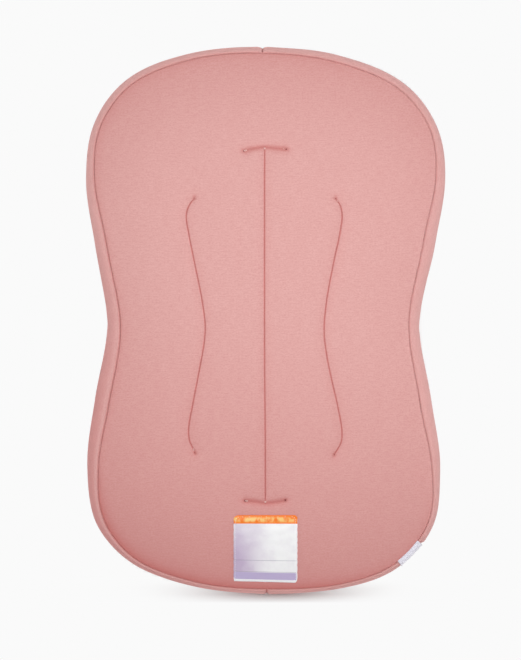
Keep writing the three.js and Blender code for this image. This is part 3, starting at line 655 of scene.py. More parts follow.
class Tree:
    """Adds nodes to a material or a group, with their values and links in one call."""

    def __init__(self, owner):
        self.nodes = owner.nodes
        self.links = owner.links

    def set(self, socket, value):
        """Gives a socket a value, or links it to one."""
        if isinstance(value, Value):
            self.links.new(value.socket, socket)
        else:
            socket.default_value = value

    def add(self, kind, values=None, **settings):
        """A new node, as its outputs by name."""
        node = self.nodes.new(kind)
        for name, value in settings.items():
            setattr(node, name, value)
        for name, value in (values or {}).items():
            self.set(node.inputs[name], value)
        return {socket.name: Value(self, socket) for socket in node.outputs}

    def math(self, operation, *values):
        """One sum of a math node."""
        return self.add("ShaderNodeMath", dict(enumerate(values)), operation=operation)["Value"]

    def scaled(self, vector, factors):
        """A vector times a factor for each of its parts."""
        values = {0: vector, 1: factors}
        return self.add("ShaderNodeVectorMath", values, operation="MULTIPLY")["Vector"]

    def noise(self, vector, scale, detail, roughness):
        """A noise texture, from 0 to 1."""
        values = {"Vector": vector, "Scale": scale, "Detail": detail, "Roughness": roughness}
        return self.add("ShaderNodeTexNoise", values)["Fac"]

    def mix(self, factor, first, second):
        """Two colours mixed; a plain colour is three linear values."""
        colours = [
            shade if isinstance(shade, Value) else (*shade, 1.0) for shade in (first, second)
        ]
        node = self.nodes.new("ShaderNodeMix")
        node.data_type, node.clamp_factor = "RGBA", True
        for index, value in ((0, factor), (6, colours[0]), (7, colours[1])):
            self.set(node.inputs[index], value)
        return Value(self, node.outputs[2])

    def ramp(self, value, low, high, to_low=0.0, to_high=1.0, kind="SMOOTHSTEP"):
        """A step from one value to another while its input runs from low to high."""
        values = {
            "Value": value,
            "From Min": low,
            "From Max": high,
            "To Min": to_low,
            "To Max": to_high,
        }
        return self.add("ShaderNodeMapRange", values, interpolation_type=kind)["Result"]

    def split(self, vector):
        """The three parts of a vector."""
        return self.add("ShaderNodeSeparateXYZ", {"Vector": vector}).values()

    def place(self):
        """The place on the object."""
        return self.add("ShaderNodeTexCoord")["Object"]

    def cloth(self):
        """The place on the flat cloth."""
        return self.add("ShaderNodeUVMap", uv_map="cloth")["UV"]

    def attribute(self, name):
        """A value that the mesh carries."""
        return self.add("ShaderNodeAttribute", attribute_name=name)["Fac"]

    def group(self, name, vector, **values):
        """The outputs of a shared group, which is made when it is first asked for."""
        group = bpy.data.node_groups.get(name) or make_group(name)
        return self.add("ShaderNodeGroup", {"Vector": vector, **values}, node_tree=group)

    def seen_directly(self):
        """1 where the picture or a reflection shows a surface, and 0 for its light on others."""
        paths = self.add("ShaderNodeLightPath")
        seen = self.math("MAXIMUM", paths["Is Camera Ray"], paths["Is Glossy Ray"])
        return self.math("MAXIMUM", seen, paths["Is Transmission Ray"])


def jersey_stitches(tree, vector, wale, course):
    """Rows of small V stitches, as height."""
    u, v, _ = tree.split(vector)
    from_middle = abs(tree.math("FRACT", u / wale) - 0.5)
    wave = tree.math("SINE", (v / course + from_middle) * math.tau)
    rib = tree.math("COSINE", from_middle * math.tau)
    return (wave * 0.3 + rib * 0.2 + 0.5,)


def heather_yarns(tree, vector, length, thickness):
    """Short and long streaks of paler and deeper yarn that run across the cloth."""
    factors = {"X": 1.0 / length, "Y": 1.0 / thickness, "Z": 1.0 / length}
    place = tree.scaled(vector, tree.add("ShaderNodeCombineXYZ", factors)["Vector"])
    fine = tree.noise(place, 1.0, 3.0, 0.65)
    drawn_out = tree.noise(tree.scaled(place, (0.25, 0.8, 1.0)), 1.0, 2.0, 0.5)
    streaks = tree.ramp(fine * 0.68 + drawn_out * 0.32, 0.35, 0.65)
    return streaks, tree.ramp(tree.noise(vector, 38.0, 4.0, 0.6), 0.3, 0.7)


def twill_lines(tree, vector, pitch, slant):
    """Fine slanted lines of a woven tape, as height."""
    u, v, _ = tree.split(vector)
    wave = tree.math("SINE", (u * slant + v) / pitch * math.tau)
    cross = tree.math("SINE", v / pitch * (2 * math.tau))
    return (wave * 0.35 + cross * 0.12 + 0.5,)


def lint(tree, vector, grain):
    """Soft fuzz that lifts the surface a little and breaks up its sheen."""
    fuzz = tree.noise(vector, 1.0 / grain, 3.0, 0.6)
    return fuzz, tree.ramp(fuzz, 0.3, 0.7, 0.78, 0.95)


# Each shared group: how it is drawn, its inputs past the vector with their values, its outputs
GROUPS = {
    "Jersey stitches": (jersey_stitches, {"Wale": 0.0013, "Course": 0.001}, ("Height",)),
    "Heather yarns": (
        heather_yarns,
        {"Length": 0.0024, "Thickness": 0.0015},
        ("Streaks", "Mottle"),
    ),
    "Twill lines": (twill_lines, {"Pitch": 0.0009, "Slant": 1.0}, ("Height",)),
    "Lint": (lint, {"Size": 0.0008}, ("Height", "Roughness")),
}


def make_group(name):
    """A shared node group with its sockets."""
    draw, inputs, outputs = GROUPS[name]
    group = bpy.data.node_groups.new(name, "ShaderNodeTree")
    group.interface.new_socket("Vector", in_out="INPUT", socket_type="NodeSocketVector")
    for label, default in inputs.items():
        socket = group.interface.new_socket(
            label, in_out="INPUT", socket_type="NodeSocketFloat"
        )
        socket.default_value = default
    for label in outputs:
        group.interface.new_socket(label, in_out="OUTPUT", socket_type="NodeSocketFloat")
    tree = Tree(group)
    given = tree.add("NodeGroupInput")
    found = draw(tree, *(given[label] for label in ("Vector", *inputs)))
    tree.add("NodeGroupOutput", dict(zip(outputs, found)))
    return group


def new_material(name, **values):
    """A material with its tree, its shader and the shader's own constant values."""
    material = bpy.data.materials.new(name)
    material.use_nodes = True
    tree = Tree(material.node_tree)
    shader = next(node for node in tree.nodes if node.type == "BSDF_PRINCIPLED")
    for label, value in values.items():
        shader.inputs[label.replace("_", " ")].default_value = value
    return material, tree, shader


def connect(tree, shader, colour, roughness, *layers):
    """Links a colour, a roughness and height layers: a value, a strength and a real height."""
    tree.set(shader.inputs["Base Color"], colour)
    tree.set(shader.inputs["Roughness"], roughness)
    under = {}
    for height, strength, distance in layers:
        values = {"Height": height, "Strength": strength, "Distance": distance, **under}
        under = tree.add("ShaderNodeBump", values)
    tree.set(shader.inputs["Normal"], under["Normal"])


def toned(base, *factors):
    """A colour made paler or deeper, by one factor or by one for each channel."""
    return tuple(min(1.0, value) for value in np.array(base) * factors)


def knit_material(name, base, strength):
    """Padded knit with heather yarns, painted shade at seams, edges and the foot, stitches and
    lint.
    """
    colours = bpy.context.scene.lounger_colours
    material, tree, shader = new_material(
        name,
        Sheen_Weight=0.12,
        Sheen_Roughness=0.4,
        Sheen_Tint=(0.95, 0.84, 0.82, 1.0),
        Specular_IOR_Level=0.18,
    )
    cloth = tree.cloth()
    yarns = tree.group("Heather yarns", cloth)
    stitches = tree.group("Jersey stitches", cloth)
    fuzz = tree.group("Lint", cloth)
    spread = np.array([0.056, 0.13, 0.132])
    deeper = toned(base, *(1 - spread))
    streaky = tree.mix(yarns["Streaks"], deeper, toned(base, *(1 + spread)))
    mottled = tree.mix(yarns["Mottle"] * 0.2, streaky, deeper)
    # Painted shade: mixed toward the edge colour where light falls off, and toward the seam colour
    # in seams and creases
    painted_edge_shade = tree.mix(tree.attribute("edge_shade") * 0.55, mottled, colours.edge)
    shaded = tree.mix(tree.attribute("seam_shade") * 0.5, painted_edge_shade, colours.shade)
    bumps = ((stitches["Height"], strength, 0.0003), (fuzz["Height"], 0.3, 0.00025))
    connect(tree, shader, shaded, fuzz["Roughness"], *bumps)
    return material


def thread_material(name, base):
    """Twisted sewing thread."""
    material, tree, shader = new_material(name, Sheen_Weight=0.1, Sheen_Roughness=0.4)
    place = tree.place()
    twist = tree.group("Twill lines", place, Pitch=0.0006)["Height"]
    fuzz = tree.group("Lint", place, Size=0.0004)
    colour = tree.mix(twist, base, toned(base, 1.25))
    bumps = ((twist, 0.5, 0.0001), (fuzz["Height"], 0.3, 0.0001))
    connect(tree, shader, colour, fuzz["Roughness"], *bumps)
    return material


# Print of the label, up from its lower edge: where the header starts, where the footer ends,
# the two rules and the middle of the painted highlight on the header
HEADER_START = 0.0769
FOOTER_END = 0.0125
RULES = (0.0286, 0.0134)
HEADER_SHINE = 0.0822


def label_material(name, base):
    """Printed satin: header, field, two rules and a footer, with a pale border and no words, a
    painted highlight on the header and painted shade on the left of the field.
    """
    colours = bpy.context.scene.lounger_colours
    width = bpy.context.scene.lounger_trim.label_width
    material, tree, shader = new_material(name, Specular_IOR_Level=0.3)
    cloth = tree.cloth()
    u, v, _ = tree.split(cloth)
    header, footer = v > HEADER_START, v < FOOTER_END
    specks = tree.noise(cloth, 260.0, 3.0, 0.6)
    wash = tree.noise(cloth, 46.0, 3.0, 0.55)
    # Painted shade: the field turns lavender at its left edge, more towards the bottom; the wash
    # adds tone that differs at random
    turned = tree.ramp(u, 0.0, 0.05, 1.0, 0.0) * tree.ramp(v, 0.03, 0.088, 0.9, 0.35)
    cast = turned + tree.ramp(wash, 0.4, 0.7) * 0.16 + tree.ramp(u, 0.03, 0.07, 0.12, 0.0)
    field = tree.mix(cast, base, colours.lavender_shade_and_print)
    # Painted highlight: pale streaks across the middle of the header
    streaks = tree.noise(tree.scaled(cloth, (150.0, 90.0, 1.0)), 1.0, 2.0, 0.5)
    shine = tree.ramp(abs(v - HEADER_SHINE), 0.001, 0.0048, 0.95, 0.0)
    glow = tree.ramp(streaks, 0.36, 0.6) * shine
    orange = tree.mix(glow, colours.header, colours.header_painted_highlight)
    lavender = tree.mix(wash * 0.5, colours.footer, colours.lavender_shade_and_print)
    upper, lower = (abs(v - place) < 0.00028 for place in RULES)
    ruled = tree.mix(tree.math("MAXIMUM", upper, lower) * 0.7, field, colours.rule)
    printed = tree.mix(header, tree.mix(footer, ruled, lavender), orange)
    side = width / 2 - abs(u - width / 2)
    border = tree.math("MINIMUM", side, v - 0.0018) < 0.0013
    # The pale border gives way where the painted shade falls on the left and lower field
    border = border * (1.0 - header) * (1.0 - turned * tree.ramp(v, 0.003, 0.006))
    edged = tree.mix(border, printed, (0.98, 0.97, 0.99))
    speckled = tree.mix(specks * (0.08 - header * 0.07), edged, (0.8, 0.78, 0.84))
    weave = tree.group("Twill lines", cloth, Pitch=0.0005, Slant=0.35)["Height"]
    roughness = tree.ramp(weave, 0.0, 1.0, 0.3, 0.48)
    connect(tree, shader, speckled, roughness, (weave, 0.35, 0.0001), (wash, 0.35, 0.0012))
    return material


def tape_material(name, base, roughness, pitch=0.0009, depth=0.84, sheen=0.15):
    """Woven tape or thin cloth."""
    material, tree, shader = new_material(name, Sheen_Weight=sheen, Sheen_Roughness=0.4)
    place = tree.place()
    weave = tree.group("Twill lines", place, Pitch=pitch)["Height"]
    fuzz = tree.group("Lint", place)["Height"]
    deep = toned(base, depth)
    fuzzy = tree.mix(fuzz * 0.2, tree.mix(weave, deep, base), deep)
    shine = tree.ramp(weave, 0.0, 1.0, roughness, roughness - 0.15)
    connect(tree, shader, fuzzy, shine, (weave, 0.5, 0.00015), (fuzz, 0.3, 0.0001))
    return material


def filling_material(name, base, cell, depth):
    """Fibre fill or foam: small cells with pale and deep places."""
    material, tree, shader = new_material(name, Sheen_Weight=0.3)
    place = tree.place()
    cells = tree.add("ShaderNodeTexVoronoi", {"Vector": place, "Scale": 1 / cell})["Distance"]
    fuzz = tree.group("Lint", place, Size=cell * 0.7)
    colour = tree.mix(tree.ramp(cells, 0.1, 0.7), toned(base, 0.8), base)
    bumps = ((cells, 0.6, depth), (fuzz["Height"], 0.5, depth))
    connect(tree, shader, colour, fuzz["Roughness"], *bumps)
    return material


def nylon_material(name, base):
    """Smooth nylon of the zip coils."""
    material, tree, shader = new_material(name)
    fuzz = tree.group("Lint", tree.place(), Size=0.002)["Height"]
    colour = tree.mix(fuzz, toned(base, 0.85), base)
    roughness = tree.ramp(fuzz, 0.2, 0.8, 0.36, 0.52)
    connect(tree, shader, colour, roughness, (fuzz, 0.15, 0.0001))
    return material


def metal_material(name, base):
    """Die-cast metal, brushed along its length and scuffed paler where hands and cloth rub it."""
    material, tree, shader = new_material(name, Metallic=1.0)
    place = tree.place()
    brushed = tree.noise(tree.scaled(place, (3000.0, 260.0, 900.0)), 1.0, 3.0, 0.6)
    scuffs = tree.noise(place, 420.0, 4.0, 0.7)
    colour = tree.mix(tree.ramp(scuffs, 0.4, 0.7), toned(base, 0.72), base)
    roughness = tree.ramp(brushed, 0.25, 0.75, 0.24, 0.46)
    connect(tree, shader, colour, roughness, (brushed, 0.15, 0.00005), (scuffs, 0.2, 0.0001))
    return material


# Each finish: its slot, its maker, the name of its colour and the maker's own values
FINISHES = {
    "Cover knit": ("cover_knit", knit_material, "cover", 0.28),
    "Base knit": ("cover_knit", knit_material, "base", 0.35),
    "Sewing thread": ("cover_thread", thread_material, "thread"),
    "Tack thread": ("cover_thread", thread_material, "tack"),
    "Bar tack thread": ("cover_thread", thread_material, "bar"),
    "Label thread": ("label_satin", thread_material, "field"),
    "Label satin": ("label_satin", label_material, "field"),
    "Side tag tape": ("tag_tape", tape_material, "tag", 0.6, 0.0007, 0.98, 0.3),
    "Zip tape": ("zip_cloth", tape_material, "zip_cloth", 0.85),
    "Casing cloth": ("casing_cloth", tape_material, "casing", 0.95, 0.0012),
    "Fibre fill": ("fibre_fill", filling_material, "fibre", 0.004, 0.0012),
    "Foam": ("foam", filling_material, "foam", 0.0016, 0.0005),
    "Zip nylon": ("zip_nylon", nylon_material, "zip_coil"),
    "Zip metal": ("zip_metal", metal_material, "metal"),
}


def made_finish(finish):
    """A finish of the lounger, made the first time that a piece asks for it."""
    found = bpy.data.materials.get(finish)
    if found is None:
        _, maker, shade, *values = FINISHES[finish]
        base = tuple(getattr(bpy.context.scene.lounger_colours, shade))
        found = maker(finish, base, *values)
    return found


# Meshes


def new_mesh(name, bm):
    """A mesh made from a bmesh, which is freed."""
    mesh = bpy.data.meshes.new(name)
    bm.to_mesh(mesh)
    bm.free()
    return mesh


def new_object(name, data):
    """An object linked to the scene."""
    made = bpy.data.objects.new(name, data)
    bpy.context.scene.collection.objects.link(made)
    return made


def finish_piece(
    name, bm, finish, replaces, body="cushion", cloth=None, shades=None, is_smooth=True
):
    """A bmesh made into a piece at the origin: its finish, its body and what it stands for."""
    mesh = new_mesh(name, bm)
    piece = new_object(name, mesh)
    mesh.polygons.foreach_set("use_smooth", [is_smooth] * len(mesh.polygons))
    mesh.materials.append(made_finish(finish))
    if cloth is not None:
        layer = mesh.uv_layers.new(name="cloth")
        corners = np.zeros(len(mesh.loops), np.int32)
        mesh.loops.foreach_get("vertex_index", corners)
        layer.data.foreach_set("uv", np.asarray(cloth, np.float32)[corners].ravel())
    for label, values in (shades or {}).items():
        layer = mesh.attributes.new(label, "FLOAT", "POINT")
        layer.data.foreach_set("value", np.clip(values, 0, 1).astype(np.float32))
    mesh.update()
    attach(piece, body)
    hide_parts(*replaces)
    return piece


def coordinates(bm):
    """Places of the vertices of a mesh, one row each."""
    return np.array([vert.co for vert in bm.verts], float).reshape(-1, 3)


def place_verts(bm, points):
    """Moves the vertices of a mesh to new places."""
    for vert, point in zip(bm.verts, points):
        vert.co = point


def way_out(along):
    """The level direction away from the cover at shares of its outline."""
    return shape.outline.at(along, shape.outline.out)


def solid_mesh(node):
    """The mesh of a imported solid, with its vertices joined."""
    bm = bmesh.new()
    bm.from_mesh(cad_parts[node].data)
    bmesh.ops.remove_doubles(bm, verts=bm.verts[:], dist=WELD)
    return bm


def add_walls(piece, thickness):
    """Gives a sheet of cloth its thickness, on the side away from the viewer."""
    walls = piece.modifiers.new("Fabric", "SOLIDIFY")
    walls.thickness = thickness
    walls.offset = -1
    walls.use_even_offset = False
    walls.use_rim = True


def turn_outwards(bm, is_up):
    """Turns a sheet's faces up or down."""
    bm.normal_update()
    total = sum(face.normal.z * face.calc_area() for face in bm.faces)
    if (total > 0) != is_up:
        bmesh.ops.reverse_faces(bm, faces=bm.faces[:])


def numbered_grid(columns, rows):
    """A flat grid, with each vertex's column and row as arrays."""
    bm = bmesh.new()
    bmesh.ops.create_grid(bm, x_segments=columns - 1, y_segments=rows - 1, size=1.0)
    places = coordinates(bm)
    if len(places) != columns * rows:
        raise RuntimeError(f"the grid has {len(places)} vertices and not {columns * rows}")
    across = np.rint((places[:, 0] + 1) / 2 * (columns - 1)).astype(int)
    along = np.rint((places[:, 1] + 1) / 2 * (rows - 1)).astype(int)
    return bm, across, along


def fine_steps(reach):
    """Offsets that crowd towards a sewn line, from one side of it to the other."""
    half = np.array([0.0003, 0.0007, 0.0012, 0.0018, 0.0026, 0.0038])
    return np.concatenate([-half[::-1], [0], half]) / reach


def even_steps(first, last, count):
    """Places between two ends, without the ends."""
    return first + (last - first) * np.arange(1, count) / count


def block_mapping(inset):
    """The right side, the end arcs and the corners of the region inside the perimeter."""
    half, out = shape.outline.right_half(inset)
    slope = np.arctan2(out[:, 1], out[:, 0])
    head = int(np.argmin(np.abs(slope - math.radians(45))))
    foot = int(np.argmin(np.abs(slope + math.radians(45))))
    side = half[head : foot + 1][::-1]
    arcs = (half[: head + 1], half[foot:][::-1])
    return side, arcs, half[head], half[foot]


def map_block(inset, rows_at, columns_at):
    """Places of the rows and columns of a block that fills the region inside the perimeter."""
    side, (head_arc, foot_arc), head, foot = block_mapping(inset)
    head_y, foot_y = head_arc[0, 1], foot_arc[0, 1]
    t = (rows_at - foot_y) / (head_y - foot_y)
    side_y = foot[1] + (head[1] - foot[1]) * t
    half_width = np.interp(side_y, side[:, 1], side[:, 0])

    def along_at(x, t, side_y, half_width):
        """Places along the cover, bent by the arcs of both ends."""
        s = np.abs(x) / half_width
        head_rise = np.interp(s * head[0], head_arc[:, 0], head_arc[:, 1]) - head[1]
        foot_drop = np.interp(s * foot[0], foot_arc[:, 0], foot_arc[:, 1]) - foot[1]
        return side_y + t * head_rise + (1 - t) * foot_drop

    x = columns_at(lambda x: along_at(x, t, side_y, half_width), half_width)
    y = along_at(x, t[:, None], side_y[:, None], half_width[:, None])
    return x, y


def extruded(bm, edges):
    """Extrudes a row of edges: the new vertices, and the edges between them."""
    made = bmesh.ops.extrude_edge_only(bm, edges=edges)["geom"]
    verts = [item for item in made if isinstance(item, bmesh.types.BMVert)]
    known = set(verts)
    edges = [item for item in made if isinstance(item, bmesh.types.BMEdge)]
    return verts, [edge for edge in edges if known.issuperset(edge.verts)]


def extrude_rings(bm, edges, insets):
    """Extrudes the edge of a block ring by ring out to the perimeter seam."""
    layer = bm.verts.layers.float.get("along") or bm.verts.layers.float.new("along")
    verts = list({vert for edge in edges for vert in edge.verts})
    places = np.array([vert.co for vert in verts])
    for vert, along in zip(verts, shape.outline.nearest(places[:, 0], places[:, 1])):
        vert[layer] = along
    for inset in insets:
        verts, edges = extruded(bm, edges)
        flat = shape.outline.inside(np.array([vert[layer] for vert in verts]), inset)
        for vert, (x, y) in zip(verts, flat):
            vert.co = (x, y, 0)


BLOCK_INSET = 0.024
BASE_BLOCK_INSET = 0.026
RING_INSETS = metres(
    18, 15, 12.6, 10.5, 8.6, 6.9, 5.4, 4.2, 3.2, 2.4, 1.7, 1.15, 0.7, 0.35, 0.12
)
BASE_RING_INSETS = metres(
    19.5, 16.8, 14.2, 11.8, 9.6, 7.6, 5.9, 4.5, 3.3, 2.3, 1.5, 0.9, 0.45, 0.12
)


def top_panel_mesh():
    """The top panel: a block that follows the sewn lines, and rings out to the perimeter seam."""
    step = bpy.context.scene.lounger_cover.grid_step
    cluster = 0.0055
    fine = (1 + fine_steps(cluster)) / 2
    reach = WIDTH / 2 - BLOCK_INSET
    outer = round((reach - 0.1) / step)
    inner = round((0.09 - 2 * cluster) / step)
    anchors_at = []
    for zone, count in enumerate((outer, 0, inner, 0, inner, 0, outer)):
        anchors_at.append([zone])
        anchors_at.append(zone + fine if count == 0 else even_steps(zone, zone + 1, count))
    columns = np.unique(np.round(np.concatenate([*anchors_at, [7]]), 6))
    ends = LENGTH / 2 - bulge_at(LENGTH / 2) - BLOCK_INSET
    rows = np.linspace(-ends, ends, round(2 * ends / step))
    crosses = [shape.lines[name].points[8, 1] for name in ("head_cross", "foot_cross")]
    for cross in crosses:
        kept = rows[np.abs(rows - cross) > cluster]
        rows = np.sort(np.concatenate([kept, cross + fine_steps(1.0)]))

    def columns_at(along_at, half_width):
        """The columns of each row, crowded at the sewn lines that it crosses."""

        def follow(name, guess):
            """Where each row meets a sewn line."""
            line = shape.lines[name].points[::-1]
            x = np.full(len(half_width), guess)
            for _ in range(5):
                x = np.interp(along_at(x), line[:, 1], line[:, 0])
            return x

        guesses = (("left_contour", -0.09), ("spine", 0.0), ("right_contour", 0.09))
        lines = [follow(name, guess) for name, guess in guesses]
        beside = [line + part for line in lines for part in (-cluster, cluster)]
        anchors = np.column_stack([-half_width, *beside, half_width])
        return np.array([np.interp(columns, np.arange(8), row) for row in anchors])

    x, y = map_block(BLOCK_INSET, rows, columns_at)
    for name, cross in zip(("head_cross", "foot_cross"), crosses):
        line = shape.lines[name].points
        bow = np.interp(x, line[:, 0], line[:, 1]) - cross
        y = y + bow * bump(y - cross, 0.014)
    bm, across, along = numbered_grid(len(columns), len(rows))
    place_verts(bm, np.column_stack([x[along, across], y[along, across], np.zeros(len(across))]))
    extrude_rings(bm, [edge for edge in bm.edges if edge.is_boundary], RING_INSETS)
    return bm


def seam_puckers(x, y, share_out):
    """Small gathers beside the perimeter seam."""
    angle = np.arctan2(x, y)
    wave = np.sin(angle * 118 + 2.5 * np.sin(angle * 23)) + 0.6 * np.sin(angle * 211 + 1.3)
    inner = SEAM_GATHER_HEIGHT * wave * smooth(0.955, 0.99, share_out)
    return inner * (1 - smooth(0.995, 1.0, share_out))


def lit_side(x, y):
    """How far a place is on the side where the seams catch the light, from 0 to 1."""
    return smooth(0.05, 0.17, x) * smooth(-0.3, -0.2, y)


# Simulation of the padding: the size of its voxels, how near the floor and the perimeter seams
# it is held, how near the sewn lines, and the pressure inside
VOXEL_SIZE = 0.006
HELD_REACH = 0.006
HELD_AT_LINES = 0.0045
PADDING_PRESSURE = 4.0


class LOUNGER_OT_swell_padding(bpy.types.Operator):
    """Simulate the padding on a coarse copy of the cover and keep how far it swells."""

    bl_idname = "lounger.swell_padding"
    bl_label = "Swell Padding"

    def coarse_cover(self):
        """A closed mesh of the cover with evenly spaced stations round it."""
        stations = 150
        along = np.arange(stations) / stations
        outline = shape.outline
        rings = []
        for out in (0.12, 0.26, 0.42, 0.58, 0.72, 0.84, 0.92, 0.965, 0.99):
            x, y = outline.at(along, outline.seam).T * out
            rings.append(np.column_stack([x, y, shape.crown(x, y)]))
        for turn in (0.0, 0.08, 0.2, 0.35, 0.5, 0.65, 0.8, 0.92, 1.0):
            rings.append(shape.band(along, np.full(stations, turn)))
        for out in (0.985, 0.955, 0.92, 0.7, 0.45, 0.2):
            x, y = outline.at(along, outline.seam).T * out
            rings.append(np.column_stack([x, y, shape.base(x, y) * (np.abs(y) > 0.25)]))
        bm = bmesh.new()
        verts = bmesh.ops.create_circle(bm, segments=stations, radius=1.0)["verts"]
        edges = bm.edges[:]
        poles = [verts]
        for ring in rings:
            if ring is not rings[0]:
                verts, edges = extruded(bm, edges)
            verts = sorted(verts, key=lambda vert: math.atan2(vert.co.x, vert.co.y) % math.tau)
            for vert, point in zip(verts, ring):
                vert.co = point
        poles.append(verts)
        for ring in poles:
            bmesh.ops.contextual_create(bm, geom=list(ring))
        bmesh.ops.recalc_face_normals(bm, faces=bm.faces[:])
        return bm

    def execute(self, context):
        sizes, studio = context.scene.lounger_cover, context.scene.lounger_studio
        coarse = new_object("padding", new_mesh("padding", self.coarse_cover()))
        remesh = coarse.modifiers.new("Voxels", "REMESH")
        remesh.mode = "VOXEL"
        remesh.voxel_size = VOXEL_SIZE
        graph = context.evaluated_depsgraph_get()
        even = bpy.data.meshes.new_from_object(coarse.evaluated_get(graph))
        coarse.modifiers.clear()
        coarse.data = even
        rest = np.array([vert.co for vert in even.vertices], float)
        x, y, z = rest.T
        held = z < HELD_REACH
        beside_seam = np.abs(shape.outline.seam_share(x, y) - 1) * 0.25
        held |= beside_seam + np.abs(z - TOP_SEAM) < HELD_REACH
        held |= (np.abs(z - BASE_SEAM) < HELD_REACH) & (z < 0.02)
        for line in shape.lines.values():
            held |= (line.distance(x, y)[0] < HELD_AT_LINES) & (z > TOP_SEAM)
        pins = coarse.vertex_groups.new(name="held")
        pins.add(np.flatnonzero(held).tolist(), 1.0, "REPLACE")
        cloth = coarse.modifiers.new("Cloth", "CLOTH")
        cloth.settings.quality = 4
        cloth.settings.mass = 0.3
        cloth.settings.use_pressure = True
        cloth.settings.uniform_pressure_force = PADDING_PRESSURE
        cloth.settings.vertex_group_mass = "held"
        cloth.settings.effector_weights.gravity = 0.0
        cloth.collision_settings.use_collision = False
        cloth.collision_settings.use_self_collision = False
        cloth.point_cache.frame_start = 1
        cloth.point_cache.frame_end = studio.sim_frames
        for number in range(1, studio.sim_frames + 1):
            context.scene.frame_set(number)
        graph = context.evaluated_depsgraph_get()
        swollen = coarse.evaluated_get(graph).data
        moved = np.array([vert.co for vert in swollen.vertices], float)
        moves = moved - rest
        reach = np.linalg.norm(moves, axis=1)
        limit = sizes.swell_limit
        moves *= (limit * np.tanh(reach / limit) / np.maximum(reach, 1e-9))[:, None]
        tree = kdtree.KDTree(len(rest))
        for i, point in enumerate(rest):
            tree.insert(point, i)
        tree.balance()
        shape.swell_tree, shape.swell_moves = tree, moves
        bpy.data.objects.remove(coarse)
        context.scene.frame_set(1)
        print(f"padding: {len(rest)} points, furthest {reach.max() * 1000:.1f} mm")
        return {"FINISHED"}


class LOUNGER_OT_top_panel(bpy.types.Operator):
    """Build the crowned top panel with its sewn lines."""

    bl_idname = "lounger.top_panel"
    bl_label = "Top Panel"

    def execute(self, context):
        sizes = context.scene.lounger_cover
        bm = top_panel_mesh()
        turn_outwards(bm, True)
        x, y, _ = coordinates(bm).T
        relief, shade = shape.relief(x, y)
        out = shape.outline.seam_share(x, y)
        reach = shape.outline.reach(x, y)
        gap = np.clip((1 - out) * reach, 0, 1)
        crease = bump(gap, 0.0008)
        # Painted shade: darker towards the perimeter, much darker towards the foot and the left
        # where the light falls off, and darker near the head seam
        edge = 0.12 * smooth(0.6, 1.0, out)
        edge += 0.8 * np.clip((-y - 0.25 * x) / 0.36, 0, 1) ** 1.1
        edge += 0.45 * np.exp(-gap / 0.05) * smooth(0.1, 0.3, y)
        lit = lit_side(x, y)
        # Painted shade beside the perimeter seam and in its crease, less on the lit side; along
        # the foot a fold is both a real dip of the panel and painted shade
        fold_dip_and_shade = smooth(0.17, 0.27, -y) * (1 - 0.9 * smooth(0.02, 0.2, x))
        near = 0.35 * (1 - lit) * np.exp(-gap / 0.006) + fold_dip_and_shade * np.exp(-gap / 0.008)
        near += (0.35 - 0.2 * lit) * crease
        z = shape.crown(x, y) + relief + seam_puckers(x, y, out)
        z -= sizes.seam_crease * crease * (1 - 0.5 * lit)
        z += 0.0004 * wander(x, y, 0.09, 3.1) * (1 - smooth(0.8, 1.0, out))
        z -= 0.0013 * fold_dip_and_shade * bump(gap, 0.0045)
        place_verts(bm, shape.settle(np.column_stack([x, y, z])))
        piece = finish_piece(
            "cover_top_panel",
            bm,
            "Cover knit",
            ("top_panel",),
            cloth=np.column_stack([x, y]),
            shades={"seam_shade": shade * 0.85 + near, "edge_shade": edge},
        )
        add_walls(piece, sizes.fabric)
        return {"FINISHED"}


def band_turns():
    """Places round the section of the band, crowded towards both creases."""
    degrees = (0, 0.3, 0.8, 1.5, 2.4, 3.6, 5, 6.8, 9, 12, 15.5, 19.5, 24, 29, 34, 39.5)
    half = np.array(degrees) / 90
    return np.concatenate([half, [0.5], 1 - half[::-1]])


